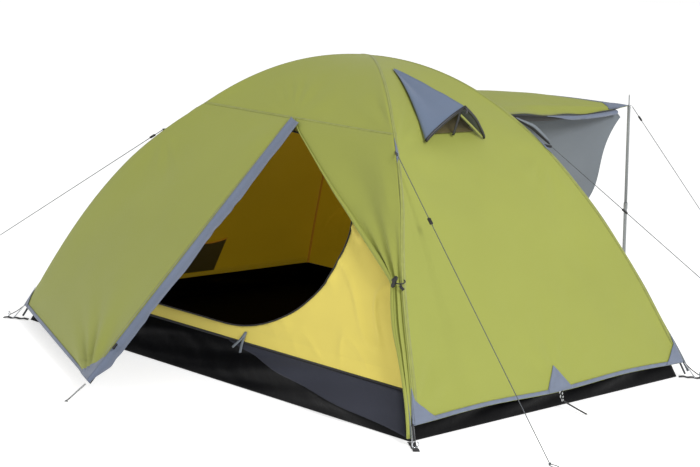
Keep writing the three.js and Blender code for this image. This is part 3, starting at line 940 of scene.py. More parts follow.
FRONT_FLAP_DROP = xyz(0.95, -0.16, -0.26).normalized()
front_flap = flap_strip(mix(FRONT_ZIP_TOP, FRONT_TIP, -0.008) + xyz(-0.002, -0.008, 0.004),
                        FRONT_TIP + xyz(0, -0.004, 0.004), FRONT_FLAP_DROP, width=0.056, wave=0.0035)
panel("front_flap", front_flap, spaced(180), spaced(8), "front_canopy", "trim_cloth", ("trim",),
      ("front_storm_flap",), flip=True)
trim("front_flap_seam", part_of(front_half, 0.0, 1.0, 0.972, 0.992), spaced(90), spaced(2),
     "front_canopy", "fly_cloth", "seam", lift=0.0012)
trim("front_half_hem", part_of(front_half, 0.990, 1.0, 0.0, 1.0), spaced(3), spaced(72), None,
     "trim_cloth", "hem", lift=0.0024, thickness=PATCH_THICK)
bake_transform(bpy.data.objects["front_half_hem"])
triangle_on("front_tip_patch", front_half, (0.915, 1.0), (1.0, 0.90), (1.0, 1.0), "front_canopy",
            0.0050)
triangle_on("front_hem_patch", front_half, (0.935, 0.0), (1.0, 0.0), (1.0, 0.045), "front_panel",
            0.0040)
trim("front_eave_tape", part_of(front_half, 0.0, 0.012, 0.0, 1.0), spaced(2), spaced(40),
     "front_canopy", "fly_cloth", "seam", lift=0.0012)


def zip_row(name, a, b, inset, body, sag=no_sag):
    """A zip's coil along a line."""
    path = [mix(a, b, t) - xyz(0, 0, sag(t)) for t in spaced(60)]
    tube(name, [p + inset for p in path], ZIP_RADIUS, body, "black_plastic", "zip", 8, 0.6)


zip_row("front_zip_coil", FRONT_ZIP_TOP, FRONT_TIP, xyz(0.009, 0.004, -0.007), "front_canopy")


def zip_pull():
    """The slider on the front half's zip."""
    along = (FRONT_TIP - FRONT_ZIP_TOP).normalized()
    out = xyz(1, 0, 0) - along * along.x
    rounded_block("front_zip_puller", box_middle("zip_slider"), along, out, (0.024, 0.011, 0.008),
                  "zip_slider", ("zip_slider",))


zip_pull()

# ---------------------------------------------------------------- gathered doors


PULL_START = 0.60
BUNDLE_X, BUNDLE_Y = 0.046, 0.013


def gathered(side, name, node, wave):
    """A door half drawn to the ridge: a curtain above its tie and a pleated bundle below."""
    corner = (1, side)
    tied = ridge(FLY, corner, TIE_BACK) + xyz(-BUNDLE_X, BUNDLE_Y * side, 0)
    start = FRONT_ZIP_TOP if side < 0 else REAR_ZIP_TOP

    def face(a, b):
        share = mix(EAVE + 0.001, 0.990, a)
        edge = drawn(FLY, corner, share) + xyz(-0.004, 0.003 * -side, 0)
        pull = smooth(PULL_START, TIE_BACK, share)
        if share < TIE_BACK:
            free = mix(start, tied, (share - EAVE) / (TIE_BACK - EAVE))
        else:
            tail = smooth(0.84, 0.985, share)
            free = ridge(FLY, corner, share) + xyz(-mix(BUNDLE_X, 0.010, tail), BUNDLE_Y * side, 0)
            narrow = sin(pi * min(1.0, (share - TIE_BACK) / 0.10))
            free += xyz(-0.006, 0.004 * side, 0) * max(0.0, narrow)
        place = mix(edge, free, b)
        slack = smooth(EAVE, PULL_START, share)
        fold = sin(2 * pi * (2.6 * b + 0.12) + 1.6 * sin(3 * a))
        depth = 0.008 * pull * fold * smooth(0, 0.12, b) * mix(1, 0.5, smooth(0.9, 1, share))
        soft = 0.014 * slack * sin(pi * (2.2 * b + 0.2)) * (1 - pull) * 0.65
        depth += soft * smooth(0, 0.2, b)
        depth += 0.003 * slack * ripple(place, 12.1 + wave, 7.0)
        out = xyz(-0.30, 0.93 * side, 0.18).normalized()
        top = FRONT_ROOF(EAVE - 0.001, 1 - b / 2) if side < 0 else REAR_ROOF(EAVE - 0.001, b / 2)
        return mix(top, place + out * depth, smooth(0, 0.06, a))

    def lip_radius(t):
        return mix(0.0025, 0.0095, smooth(0.05, 0.55, t)) * mix(1, 0.6, smooth(0.65, 1.0, t))

    panel(name, face, spaced(90), spaced(44), "tent", "fly_cloth", ("fly", "lining"), (node,),
          held="gathered", flip=side < 0)
    lip = [face(a, 0.985) + xyz(-0.002, 0.005 * side, 0) for a in spaced(70)]
    tube(f"{name}_rolled_edge", lip, lip_radius, "tent", "fly_cloth", "lining" if side > 0 else "fly", 14)
    tape = [face(a, 0.985) + xyz(0.004, -0.009 * side, 0) for a in spaced(70, 0.02, 0.98)]
    tube(f"{name}_zip", tape, 0.0024, "tent", "black_plastic", "zip", 8)


gathered(-1, "front_gather", "front_door_gathered", 0.0)
gathered(1, "rear_gather", "rear_door_gathered", 2.0)


def rear_lip():
    """Above the rear tie the rolled edge stands off the ridge, its zip tape below it."""
    for name, material, lift in (("lip", "lining", 0.007), ("tape", "zip", -0.002)):
        line = [ridge(FLY, REAR_RIGHT, u) + xyz(0.006, 0.024, 0.003 + lift) * smooth(0.435, 0.48, u)
                for u in spaced(30, 0.435, 0.525)]
        tube(f"rear_gather_{name}", line, lambda t: 0.001 + 0.0065 * sin(pi * t) ** 0.5,
             "tent", "fly_cloth", material, 12)


rear_lip()


def tie_back():
    """The elastic loop and toggle that hold the gathered front door."""
    low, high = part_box("tie_back_toggle")
    middle = box_middle("tie_back_toggle") + xyz(-0.016, -0.028, 0)
    out = xyz(0, -1, 0)
    rounded_block("door_toggle", middle, xyz(0.35, 0, 0.94).normalized(), out,
                  (high.z - low.z + 0.004, 0.014, 0.012), "tie_back_toggle", ("tie_back_toggle",))
    round_bundle = middle + xyz(-0.004, 0.026, 0.0)
    tie = loop_path(round_bundle, xyz(0.024, 0, -0.004), xyz(0, 0.021, 0.004), 32)
    ring("door_tie_loop", tie, 0.0022, "tent", "cord", "webbing")
    strap("door_tie_tab", [middle + Vector(p) for p in (
        (0.016, 0.012, -0.010), (0.024, 0.012, -0.017), (0.031, 0.016, -0.025))],
        xyz(0.3, 0, 1), 0.012, 0.0016, *WEBBING)


tie_back()

# ---------------------------------------------------------------- awning

AWNING_EAVE_LEFT = ridge(FLY, REAR_LEFT, EAVE)
AWNING_CLOSED_TIP = xyz(0.100, 1.330, 0.050)
AWNING_RISE = abs(degrees((AWNING_TIP - REAR_ZIP_TOP).yz.angle_signed(
    (AWNING_CLOSED_TIP - REAR_ZIP_TOP).yz)))
AWNING_FOLD = -80
AWNING_FREE = 0.93
HEM_BOW = 0.132
TIP_TRIM = 0.27


def raised(point):
    return turned(point, REAR_ZIP_TOP, xyz(1, 0, 0), AWNING_RISE)


def hung(point):
    """Where a point of the closed panel goes when it is folded at its crest and raised."""
    crest = AWNING_CLOSED_TIP - AWNING_EAVE_LEFT
    return raised(turned(point, AWNING_EAVE_LEFT, crest, AWNING_FOLD))


def awning_sag(a):
    """How far the zip edge hangs below its straight line, most near the tip."""
    return 0.027 * sin(pi * a ** 1.8)


def awning_roof(a, b):
    """The raised canopy: a is 0 at the seam and 1 at the tip, b is 0 at the zip, 1 at the crest."""
    top = mix(REAR_ZIP_TOP, AWNING_EAVE_LEFT, b)
    place = mix(top, AWNING_TIP, a)
    arch = sin(pi * a) ** 0.9
    depth = 0.052 * arch * smooth(0.0, 1.0, b)
    depth += 0.004 * arch * ripple(place, 15.0, 6.0)
    depth += puckers(place, AWNING_STRESS) * smooth(0, 0.06, b)
    edge = (0.004 * sin(a * 31) * arch - awning_sag(a)) * (1 - smooth(0, 0.3, b))
    top = REAR_ROOF(EAVE - 0.001, 0.5 + b / 2)
    return mix(top, place + xyz(0, 0, depth + edge), smooth(0, 0.06, a))


AWNING_STRESS = [(AWNING_TIP, 0.008, 0.36, 9, 0.2), (REAR_ZIP_TOP, 0.005, 0.18, 11, 0.0)]


def awning_side(c, d):
    """The panel hanging from the crest: c is 0 at the crest and 1 at its hem, d runs from the tip."""
    c *= 1 - TIP_TRIM * (1 - smooth(0.0, 0.35, d))
    share = mix(EAVE, CAD_HEM, c)
    chord = mix(AWNING_EAVE_LEFT, ridge(FLY, REAR_LEFT, CAD_HEM), c)
    edge = mix(chord, ridge(FLY, REAR_LEFT, share), 0.2)
    place = mix(AWNING_CLOSED_TIP, edge, d)
    bow = sin(pi * min(1.0, d / AWNING_FREE))
    place = hung(place) + AWNING_HEM_BOW * (bow * c * c)
    lift = 0.052 * sin(pi * (1 - d)) ** 0.9 * (1 - smooth(0, 0.55, c))
    loose = smooth(0.1, 0.9, d) * smooth(0.0, 0.5, c)
    wave = 0.012 * loose * sin(8.0 * c + 2.0 * d) + 0.006 * ripple(place, 21.0, 5.0)
    return place + xyz(0, 0, lift) + xyz(0.65, 0.45, -0.2) * wave


def awning_hem_bow():
    """Outward in the hanging panel's own plane, square to its hem."""
    foot = hung(ridge(FLY, REAR_LEFT, CAD_HEM))
    hem = (foot - AWNING_TIP).normalized()
    return square_to(hem, foot - hung(AWNING_EAVE_LEFT)) * HEM_BOW


AWNING_HEM_BOW = awning_hem_bow()


def awning():
    """The raised half: roof, hanging side panel, tapes, flap, zip and the eyelet in its tip."""
    panel("awning_roof", awning_roof, spaced(60, 0.0, 0.996), spaced(44), "awning", "fly_cloth",
          ("fly", "lining"), ("awning_canopy",))
    side = panel("awning_side", awning_side, spaced(48), spaced(56, 0.06, AWNING_FREE), None,
                 "fly_cloth", ("fly", "lining"), ("awning_side_panel",))
    middle = mix(AWNING_EAVE_LEFT, AWNING_TIP, 0.5)
    axis = (AWNING_TIP - AWNING_EAVE_LEFT).normalized()
    down = square_to(axis, awning_side(0.5, 0.5) - middle)
    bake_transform(side)
    hem = part_of(awning_side, 0.98, 1.0, 0.06, AWNING_FREE)
    trim("awning_hem_tape", hem, spaced(2), spaced(60), "awning_panel", "trim_cloth", "hem", lift=0.0012,
         thickness=0.0012)
    crest = part_of(awning_side, 0.0, 0.03, 0.06, AWNING_FREE)
    trim("awning_crest_seam", crest, spaced(2), spaced(60), "awning", "fly_cloth", "seam", lift=0.001)
    edge = part_of(awning_roof, 0.02, 0.98, 0.0, 0.05)
    trim("awning_zip_seam", edge, spaced(60), spaced(2), "awning", "fly_cloth", "seam", lift=0.001)
    tip = part_of(awning_roof, 0.895, 0.995, 0.0, 1.0)
    trim("awning_tip_patch", tip, spaced(8), spaced(8), "awning", "trim_cloth", "patch", lift=0.0022,
         thickness=0.0014)
    drop = xyz(0.15, -0.7, -0.72)
    drop = turned(drop, Vector(), xyz(1, 0, 0), AWNING_RISE).normalized()
    tape = flap_strip(REAR_ZIP_TOP + drop * 0.003, AWNING_TIP + drop * 0.003, drop, 0.030, 0.003,
                      awning_sag)
    # Black zip tape below the raised zip edge, drawn wide so its dark band also paints the shade under
    # that edge.
    trim("awning_zip_tape", lambda a, b: tape(mix(0.06, 0.86, a), b * (1 - 0.8 * smooth(0.5, 1.0, a))),
         spaced(90), spaced(4), "awning", "black_plastic", "zip", lift=0.002)
    near = xyz(0.004, -0.003, 0)
    flap = flap_strip(REAR_ZIP_TOP + drop * 0.006 + near, AWNING_TIP + drop * 0.006 + near, drop, 0.020,
                      0.005, awning_sag)
    panel("awning_flap", lambda a, b: flap(mix(0.56, 0.93, a), b * mix(0.2, 1.0, smooth(0, 0.4, a))),
          spaced(110), spaced(8), "awning", "trim_cloth", ("trim",), ("awning_storm_flap",))
    zip_row("awning_zip_coil", mix(REAR_ZIP_TOP, AWNING_TIP, 0.04), mix(REAR_ZIP_TOP, AWNING_TIP, 0.94),
            xyz(0.006, 0, -0.008), "awning", sag=awning_sag)
    ring("awning_eyelet", loop_path(AWNING_TIP + xyz(0, 0.004, 0.0015), xyz(0.0085, 0, 0),
                                    xyz(0, 0.0085, 0), 24), 0.0016, "awning", "ring_steel", "steel")


awning()


def awning_pole():
    """Two telescoping steel tubes with a collar, a plastic foot and a spike for the eyelet."""
    # The pole leans: its axis joins the middle of its foot to the awning's tip.
    foot = xyz(0.100, 1.786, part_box("awning_pole_lower")[0].z)
    head = AWNING_TIP
    length = (head - foot).length
    split = length * 0.52
    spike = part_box("awning_pole_upper")[1].z - head.z
    lathe("awning_pole_tube", [(0.0, 0.0), (0.0075, 0.0), (0.0098, 0.002), (0.0098, 0.026),
                               (0.0082, 0.028), (0.0080, 0.030), (0.0080, split - 0.004),
                               (0.0086, split - 0.003), (0.0086, split), (0.0076, split + 0.001),
                               (0.0, split + 0.001)],
          foot, head, "awning_pole", "awning_pole_steel", "pole_steel", replaces=("awning_pole_lower",))
    lathe("awning_pole_slide", [(0.0, split - 0.02), (0.0072, split - 0.02), (0.0072, length - 0.018),
                                (0.0076, length - 0.017), (0.0076, length - 0.004),
                                (0.0058, length - 0.002), (0.0026, length),
                                (0.0026, length + spike * 0.9), (0.0012, length + spike),
                                (0.0, length + spike)],
          foot, head, "awning_pole", "awning_pole_steel", "pole_steel", replaces=("awning_pole_upper",))
    lathe("awning_pole_collar", [(0.0082, split - 0.030), (0.0096, split - 0.028), (0.0096, split - 0.002),
                                 (0.0090, split), (0.0074, split + 0.001), (0.0074, split - 0.03)],
          foot, head, "awning_pole", "awning_pole_steel", "pole_steel")
    lathe("awning_pole_foot", [(0.0, -0.0015), (0.0098, -0.0015), (0.0115, 0.001), (0.0115, 0.022),
                               (0.0102, 0.025), (0.0086, 0.0255), (0.0086, 0.002)],
          foot, head, "awning_pole", "black_plastic", "plastic")


awning_pole()

# ---------------------------------------------------------------- vents

VENT_TOP, VENT_FOOT, VENT_HALF, VENT_LIFT = 0.182, 0.494, 0.170, 0.132
VENT_LEAN, VENT_SHIFT = 0.28, -0.076


def vent_point(side, share, y, lift, clear=0.003):
    p = ridge(FLY, (side, 0), share)
    q = ridge(FLY, (side, 0), share + 0.01)
    out = xyz(side * (p.z - q.z), 0, abs(q.x - p.x)).normalized()
    up = xyz(side * VENT_LEAN, 0, 1).normalized()
    return xyz(p.x, y + side * VENT_SHIFT, p.z) + out * clear + up * lift


def vent(side, name):
    """A peaked hood over a mesh window, its mouth stiffened and held open by a strut."""
    def hood(a, b):
        along, across = mix(0.03, 1, a), 2 * b - 1
        peak = (1 - abs(across)) ** 0.85
        peak += 0.04 * sin(pi * abs(across)) * along
        share = mix(VENT_TOP, VENT_FOOT, along)
        place = vent_point(side, share, across * VENT_HALF * along, VENT_LIFT * along * peak)
        mouth = vent_point(side, VENT_FOOT, across * VENT_HALF, VENT_LIFT * peak)
        tip = vent_point(side, VENT_TOP, 0, 0)
        place = mix(place, mix(tip, mouth, along), 0.85 * smooth(0.0, 0.5, 1 - abs(across)))
        crease = 0.004 * along * ripple(place, 30.0 + side, 14.0) * sin(pi * b)
        return place + xyz(side * crease, 0, crease)

    panel(f"{name}_hood", hood, spaced(30), spaced(40), "tent", "trim_cloth", ("hood", "lining"),
          (f"{name}_vent_hood",), flip=side < 0)

    def window(a, b):
        along = mix(0.1, 0.93, a)
        share = mix(VENT_TOP, VENT_FOOT, along)
        return vent_point(side, share, (2 * b - 1) * VENT_HALF * 0.86 * along, 0, 0.0018)

    sewn(f"{name}_vent_mesh", sampled(window, spaced(20), spaced(20)), "tent", "mesh_cloth", "mesh",
         0.0008, side < 0)
    tube(f"{name}_vent_rim", [hood(1, b) for b in spaced(60)], 0.0048, "tent", "black_plastic",
         "plastic", 12, 1.4)
    foot = vent_point(side, VENT_FOOT - 0.012, 0, 0.001)
    head = vent_point(side, VENT_FOOT - 0.012, 0, VENT_LIFT - 0.020)
    path = [mix(foot, head, t) + xyz(side * 0.002 * sin(pi * t), 0, 0) for t in spaced(14)]
    strap(f"{name}_strut", path, xyz(0, 1, 0), 0.014, 0.0025, f"{name}_vent_prop", "black_plastic",
          "plastic", (f"{name}_vent_prop",))
    strap(f"{name}_vent_pull", [vent_point(side, VENT_FOOT, 0, VENT_LIFT * t) + xyz(side * s, 0, 0)
                                for t, s in ((0.98, 0.004), (0.90, 0.012), (0.80, 0.014))],
          xyz(0, 1, 0), 0.012, 0.0016, *WEBBING)
    seam_line = [hood(a, 0.5) for a in spaced(30, 0.1, 0.985)]
    tube(f"{name}_vent_seam", seam_line, 0.0012, "tent", "trim_cloth", "hood", 8)


vent(1, "right")
vent(-1, "left")

# ---------------------------------------------------------------- inner tent

DOOR_MIDDLE, DOOR_WIDTH, DOOR_LEFT, DOOR_LEFT_TOP = 0.050, 0.445, -0.560, -0.430
DOOR_CENTRE, DOOR_HALF = 0.550, 0.350
INNER_FOOT = share_at(INNER, TUB_TOP + 0.003)


def door_side(z, side):
    """The door's edge at a height: its upright left or its curved right."""
    t = min(1.0, max(-1.0, (z - DOOR_CENTRE) / DOOR_HALF))
    if side < 0:
        return mix(DOOR_LEFT, DOOR_LEFT_TOP, (1 + t) / 2)
    return DOOR_MIDDLE + DOOR_WIDTH * sqrt(1 - t * t)


SLUMP = 0.048


def tub_top(start, t):
    """The tub's rim on the wall that starts at a corner: slumped along the left and rear walls."""
    if start == "rear_right":
        return TUB_TOP - SLUMP * smooth(0.0, 0.3, t)
    if start == "rear_left":
        return TUB_TOP - SLUMP * (1 - smooth(0.85, 1.0, t))
    return TUB_TOP


def inner_foot(start, t):
    return share_at(INNER, tub_top(start, t) + 0.001)


class InnerEnd:
    """The shape of an end wall of the inner tent, with its creases."""

    def __init__(self, side, seed):
        self.side, self.seed = side, seed

    def at(self, share, x):
        place = ridge(INNER, (0, self.side), share)
        place = xyz(-self.side * x, place.y, place.z)
        free = sin(pi * min(1.0, share / INNER_FOOT)) ** 0.6
        crease = xyz(place.x * 1.6 + place.z, place.z * 3.4 - place.x * 1.2, self.seed)
        fade = smooth(0, 0.10, HALF_X * share - abs(x)) * free
        depth = 0.007 * fade * noise.noise(crease * 2.2)
        slant = xyz((x - place.z) * 1.9, (x + place.z) * 6.5, self.seed)
        crisp = max(0.0, 1 - 5 * abs(noise.noise(slant * 1.2)))
        depth += 0.020 * fade * noise.noise(slant) + 0.013 * fade * crisp * crisp
        depth -= 0.006 * fade
        return place + xyz(0, self.side * depth, 0)


def inner_end(side, name, node, seed):
    """An end wall: strips either side of its door meet others that run over and under it."""
    end = InnerEnd(side, seed)
    start = "front_left" if side < 0 else "rear_right"
    top = share_at(INNER, DOOR_CENTRE + DOOR_HALF)
    foot = share_at(INNER, DOOR_CENTRE - DOOR_HALF)

    def edge(sign):
        return lambda share, z: sign * (HALF_X * share - 0.002)

    def door(sign):
        return lambda share, z: door_side(z, sign)

    for part, left, right, low, high, columns, rows in (
        ("left", edge(-1), door(-1), top, foot, 22, 36),
        ("right", door(1), edge(1), top, foot, 96, 110),
        ("above", edge(-1), edge(1), 0.02, top, 40, 36),
        ("below", edge(-1), edge(1), foot, None, 200, 36),
    ):
        def face(a, b):
            share = mix(low, high or inner_foot(start, b), 0.5 - 0.5 * cos(pi * a))
            z = INNER[1] * (1 - share**ARCH_POWER)
            return end.at(share, mix(left(share, z), right(share, z), b))
        panel(f"{name}_{part}", face, spaced(rows), spaced(columns), "tent", "inner_cloth",
              ("inner", "inside"), (node,), thickness=0.0007)
    return end


front_end = inner_end(-1, "inner_front", "inner_front_wall", 2.0)
rear_end = inner_end(1, "inner_rear", "inner_rear_wall", 5.0)


def door_outline(end, lift, count=90):
    """The closed line round a door opening, a little in front of the wall."""
    points = []
    for k in range(count):
        t = 2 * k / count
        if t < 1:
            angle = pi * t
            z = DOOR_CENTRE + DOOR_HALF * cos(angle)
            x = DOOR_MIDDLE + DOOR_WIDTH * sin(angle)
        elif t < 1.2:
            z, x = DOOR_CENTRE - DOOR_HALF, mix(DOOR_MIDDLE, DOOR_LEFT, (t - 1) / 0.2)
        elif t < 1.8:
            z = mix(DOOR_CENTRE - DOOR_HALF, DOOR_CENTRE + DOOR_HALF, (t - 1.2) / 0.6)
            x = door_side(z, -1)
        else:
            z, x = DOOR_CENTRE + DOOR_HALF, mix(DOOR_LEFT_TOP, DOOR_MIDDLE, (t - 1.8) / 0.2)
        place = end.at(share_at(INNER, z), x)
        points.append(place + xyz(0, end.side * lift, 0))
    return points


ring("inner_front_zip", door_outline(front_end, 0.003), ZIP_RADIUS, "tent", "inner_cloth", "zip")
ring("inner_rear_zip", door_outline(rear_end, 0.005), ZIP_RADIUS, "tent", "inner_cloth", "zip")


def rear_door():
    """The inner tent's rear door, zipped shut."""
    def face(a, b):
        share = 0.5 - 0.5 * cos(pi * a)
        z = mix(DOOR_CENTRE + DOOR_HALF - 0.004, DOOR_CENTRE - DOOR_HALF + 0.004, share)
        x = mix(door_side(z, -1) + 0.003, door_side(z, 1) - 0.003, b)
        return rear_end.at(share_at(INNER, z), x)
    panel("rear_door", face, spaced(40), spaced(36), "tent", "inner_cloth", ("inner", "inside"),
          ("inner_rear_door",))


rear_door()

INNER_RIGHT = Wall(INNER, FRONT_RIGHT, REAR_RIGHT, 31.0, sag=0.006, rumple=0.003)
INNER_LEFT = Wall(INNER, REAR_LEFT, FRONT_LEFT, 37.0, sag=0.006, rumple=0.003)
panel("right_inner", INNER_RIGHT, spaced(40, 0.02, INNER_FOOT), columns_of(30), "tent", "inner_cloth",
      ("inner", "inside"), ("inner_right_wall",))
panel("left_inner", lambda a, b: INNER_LEFT(mix(0.02, inner_foot("rear_left", b), a), b), spaced(56),
      columns_of(44), "tent", "inner_cloth", ("inner", "inside"), ("inner_left_wall",))


ROLL_TIES = (0.24, 0.74)
ROLL_HEIGHTS = (0.222, 0.793)
ROLL_RADIUS, ROLL_SIDES = 0.0245, 48


def rolled_door():
    """The front door, rolled to its upright side and tied in two places."""
    def axis(t):
        z = mix(*ROLL_HEIGHTS, t)
        share = share_at(INNER, z)
        return xyz(mix(DOOR_LEFT, DOOR_LEFT_TOP, t) - 0.030, -HALF_Y * share - 0.036, z)
    rows = []
    for t in spaced(60):
        middle = axis(t)
        pinch = 1 - 0.32 * sum(exp(-(((t - tie) / 0.03) ** 2)) for tie in ROLL_TIES)
        row = []
        for s, (x, y) in enumerate(circle(ROLL_SIDES)):
            turns = sin(2 * pi * s / ROLL_SIDES * 3 + 5 * t)
            spiral = 1 + 0.10 * turns + 0.08 * ripple(xyz(x, y, 9 * t), 2.0, 1.0)
            r = ROLL_RADIUS * pinch * spiral
            row.append(middle + xyz(x * r, y * r, 0))
        rows.append(row)
    roll = put("door_roll", solid_from(rows, "door_roll"), "tent", "inner_cloth", "inner",
               replaces=("inner_front_door_roll",))
    for k, tie in enumerate(ROLL_TIES):
        round_roll = loop_path(axis(tie), xyz(0.0195, 0, 0), xyz(0, 0.0195, 0))
        ring(f"door_roll_tie_{k + 1}", round_roll, 0.0035, *WEBBING)


rolled_door()


SILL_TIE = 0.167


def inner_details():
    """The pocket with its binding, the seams up the ridges and the ties on the front sill."""
    low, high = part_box("inner_pocket")
    def face(a, b):
        z = mix(high.z, low.z - 0.035, a)
        x = -HALF_X * share_at(INNER, z) + 0.016
        belly = 0.010 * sin(pi * b) * smooth(0, 0.6, 1 - a)
        sag = 0.010 * sin(pi * b) * (1 - a)
        return xyz(x + belly, mix(high.y, low.y, b), z - sag)
    panel("pocket", face, spaced(20), spaced(24), "tent", "mesh_cloth", ("mesh",), ("inner_pocket",),
          thickness=0.0009, flip=True)
    rim = [face(0, b) for b in spaced(24)]
    tube("pocket_binding", rim, 0.0032, "tent", "inner_cloth", "inner_seam", 8)
    for name, corner in CORNERS.items():
        inward = xyz(-corner[0], -corner[1], 0).normalized()
        low = share_at(INNER, TUB_TOP - (SLUMP if name == "rear_left" else 0))
        seam_line = [ridge(INNER, corner, mix(0.05, low, t)) + inward * 0.006 for t in spaced(60)]
        strap(f"{name}_inner_seam", seam_line, xyz(-corner[1], corner[0], 0), 0.014, 0.0016, "tent",
              "inner_cloth", "inner_seam")
    sill = front_end.at(share_at(INNER, DOOR_CENTRE - DOOR_HALF - 0.010), SILL_TIE)
    for k, (slant, length) in enumerate(((0.016, 0.070), (-0.026, 0.058))):
        path = [sill + xyz(0, -0.004, 0), sill + xyz(slant * 0.3, -0.024, -length * 0.5),
                sill + xyz(slant, -0.044, -length)]
        strap(f"sill_tie_{k + 1}", curve_points(path, 10), xyz(1, 0, 0), 0.011, 0.0018, "tent",
              "webbing", "lining")


inner_details()


PLEAT_START, PLEAT_DEPTH = 0.54, 0.034


def tub():
    """The bucket floor: four low walls and a floor with soft wrinkles, all of thick black cloth."""
    def wall_face(name, a, b):
        def face(s, t):
            z = mix(tub_top(name, t), 0.0008, s)
            share = share_at(INNER, z)
            left, right = ridge(INNER, a, share), ridge(INNER, b, share)
            place = mix(left, right, t)
            along = (right - left).normalized()
            out = xyz(along.y, -along.x, 0)
            free = max(0.0, sin(pi * t)) ** 0.4 * smooth(0, 0.2, s) * smooth(0, 0.3, 1 - s)
            run = t * (right - left).length
            if name == "front_left":
                pleat = max(0.04, (t - PLEAT_START) / (1 - PLEAT_START))
                rise = s / pleat if s < pleat else (1 - s) / max(0.10, 1 - pleat)
                fade = smooth(PLEAT_START, 0.75, t) * (1 - smooth(0.86, 0.96, t))
                place = place + out * PLEAT_DEPTH * rise * fade
            crease = noise.noise(xyz(run * 4.0 + s * 2.6, s * 1.3, a[0] * 3 + a[1]))
            wrinkle = noise.noise(xyz(run * 13 - s * 2.5, s * 2.0, a[0] + 4))
            return place + out * free * (0.014 * crease + 0.004 * wrinkle)
        return face

    names = list(CORNERS)
    for k, name in enumerate(names):
        face = wall_face(name, CORNERS[name], CORNERS[names[(k + 1) % 4]])
        panel(f"tub_wall_{name}", face, spaced(24), spaced(110), "tent", "groundsheet_cloth", ("tub",),
              ("groundsheet",) if k == 0 else (), thickness=0.0012)
        if k == 0:
            # Painted sheen: a lighter grey-blue triangle on the front wall's right end, standing for light
            # off the slumped facet there.
            triangle_on("tub_corner_gusset", face, (0.05, PLEAT_START), (0.06, 0.992), (0.94, 0.992),
                        material="painted_sheen")
        rim = part_of(face, 0.0, 0.05, 0.0, 1.0)
        trim(f"tub_binding_{name}", rim, spaced(1), spaced(90), "tent", "inner_cloth", "zip",
             lift=0.0012)

    def floor(a, b):
        x, y = mix(-HALF_X, HALF_X, a), mix(-HALF_Y, HALF_Y, b)
        edge = smooth(0, 0.08, min(a, 1 - a)) * smooth(0, 0.08, min(b, 1 - b))
        z = 0.0015 + edge * 0.010 * abs(noise.noise(xyz(x * 3, y * 3, 7.7)))
        z += edge * 0.006 * abs(noise.noise(xyz(x * 9, y * 7, 1.7)))
        return xyz(x * 0.9995, y * 0.9995, z)
    panel("tub_floor", floor, spaced(80), spaced(64), "tent", "groundsheet_cloth", ("floor",),
          thickness=0.0009, held="laid")


tub()

# ---------------------------------------------------------------- corners


def corner_fittings():
    """Each corner's webbing, its ring for the pole's foot, the wire pin and the hem's adjuster."""
    for name, corner in CORNERS.items():
        foot = xyz(corner[0] * HALF_X, corner[1] * HALF_Y, 0)
        out = foot.normalized()
        side = xyz(-out.y, out.x, 0)
        path = [mix(foot * 1.006, foot * 1.085, t) + UP * (0.0014 + 0.003 * sin(3 * pi * t) ** 2)
                for t in spaced(16)]
        strap(f"{name}_webbing", path, side, 0.024, 0.0020, *WEBBING, (f"{name}_corner_strap",))
        node = f"{name}_corner_ring"
        ring(f"{name}_ring", loop_path(box_middle(node), side * 0.011, UP * 0.011, 32), 0.0017, "tent",
             "ring_steel", "steel", 12, (node,))
        hem = ridge(FLY, corner, HEM)
        base = xyz(hem.x, hem.y, 0.004) + out * 0.046
        middle = mix(hem, base, 0.5)
        pin = curve_points([hem + side * 0.003, middle + side * 0.004, base + side * 0.006,
                            base + out * 0.008, base - side * 0.006, middle - side * 0.004,
                            hem - side * 0.003], 40)
        tube(f"{name}_pin", pin, 0.0021, "tent", "ring_steel", "steel")
        tape = curve_points([hem - out * 0.006 + UP * 0.006, hem + out * 0.030 - UP * 0.026,
                             hem + out * 0.064 - UP * (hem.z - 0.014)], 18)
        strap(f"{name}_adjuster", tape, side, 0.007, 0.0030, *WEBBING)


corner_fittings()


def middle_loops():
    """A striped elastic loop and a short strap at the middle of each plain wall's hem."""
    for sign, name, wall_of in ((1, "right", RIGHT_WALL), (-1, "left", LEFT_WALL)):
        hem = wall_of(HEM, 0.5)
        out = xyz(sign, 0, 0)
        low = hem + xyz(sign * 0.014, 0, -0.034)
        middle = mix(hem, low, 0.5)
        path = curve_points([hem + xyz(0, -0.006, 0.004), middle + xyz(0, -0.007, 0), low,
                             middle + xyz(0, 0.007, 0), hem + xyz(0, 0.006, 0.004)], 24)
        tube(f"{name}_hem_loop", path, 0.0024, "tent", "cord", "bungee")
        end = xyz(hem.x + sign * 0.125, hem.y, 0.004)
        path = curve_points([low + UP * 0.003, mix(low, end, 0.5) + out * 0.004, end], 14)
        strap(f"{name}_peg_strap", path, xyz(0, 1, 0), 0.010, 0.0020, *WEBBING)


middle_loops()


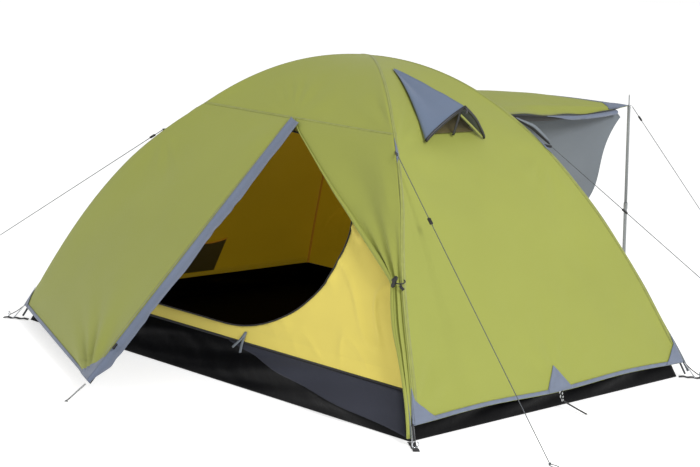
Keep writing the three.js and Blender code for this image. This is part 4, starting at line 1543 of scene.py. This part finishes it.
def rod_dressing():
    """The dome poles and ferrules are the CAD's own; they only need their materials."""
    for piece in bpy.data.objects:
        if piece.type == "MESH" and piece.name.startswith("pole_"):
            piece.data.materials.clear()
            piece.data.materials.append(MAT["ferrule" if "ferrule" in piece.name else "fibreglass"])
            smooth_faces(piece.data)


rod_dressing()

# ---------------------------------------------------------------- setting


def setting():
    """A plain pale ground, lit softly from above and from the right as in a cut-out picture."""
    scene = bpy.context.scene
    scene.view_settings.view_transform = "Standard"
    scene.view_settings.look = "None"
    world = scene.world or bpy.data.worlds.new("world")
    scene.world = world
    world.use_nodes = True
    nodes, links = world.node_tree.nodes, world.node_tree.links
    seen = nodes.new("ShaderNodeLightPath")
    strength = nodes.new("ShaderNodeMapRange")
    strength.inputs["To Min"].default_value = 0.62
    strength.inputs["To Max"].default_value = 1.0
    links.new(seen.outputs["Is Camera Ray"], strength.inputs["Value"])
    nodes["Background"].inputs["Color"].default_value = (1.0, 1.0, 1.0, 1)
    links.new(strength.outputs["Result"], nodes["Background"].inputs["Strength"])

    ground = bpy.data.meshes.new("ground")
    reach, level = 40, -0.0015
    ground.from_pydata([(x * reach, y * reach, level) for x, y in CORNERS.values()], [], [(0, 1, 2, 3)])
    floor = bpy.data.objects.new("ground", ground)
    bpy.context.collection.objects.link(floor)
    pale = Shader("pale_ground", 0.9)
    pale.set("Base Color", (0.72, 0.72, 0.72, 1))
    pale.set("Emission Color", (1.0, 1.0, 1.0, 1))
    pale.set("Emission Strength", 0.60)
    floor.data.materials.append(pale.material)

    for name, place, target, size, power in (
        ("key", (6.5, -1.6, 5.0), (0, 0, 0.5), 2.6, 330),
        ("fill", (-3.5, -6.5, 3.5), (0, 0, 0.5), 4.0, 40),
    ):
        lamp = bpy.data.lights.new(name, "AREA")
        lamp.size = size
        lamp.energy = power
        piece = bpy.data.objects.new(name, lamp)
        piece.location = place
        piece.rotation_euler = (Vector(target) - Vector(place)).to_track_quat("-Z", "Y").to_euler()
        bpy.context.collection.objects.link(piece)


setting()
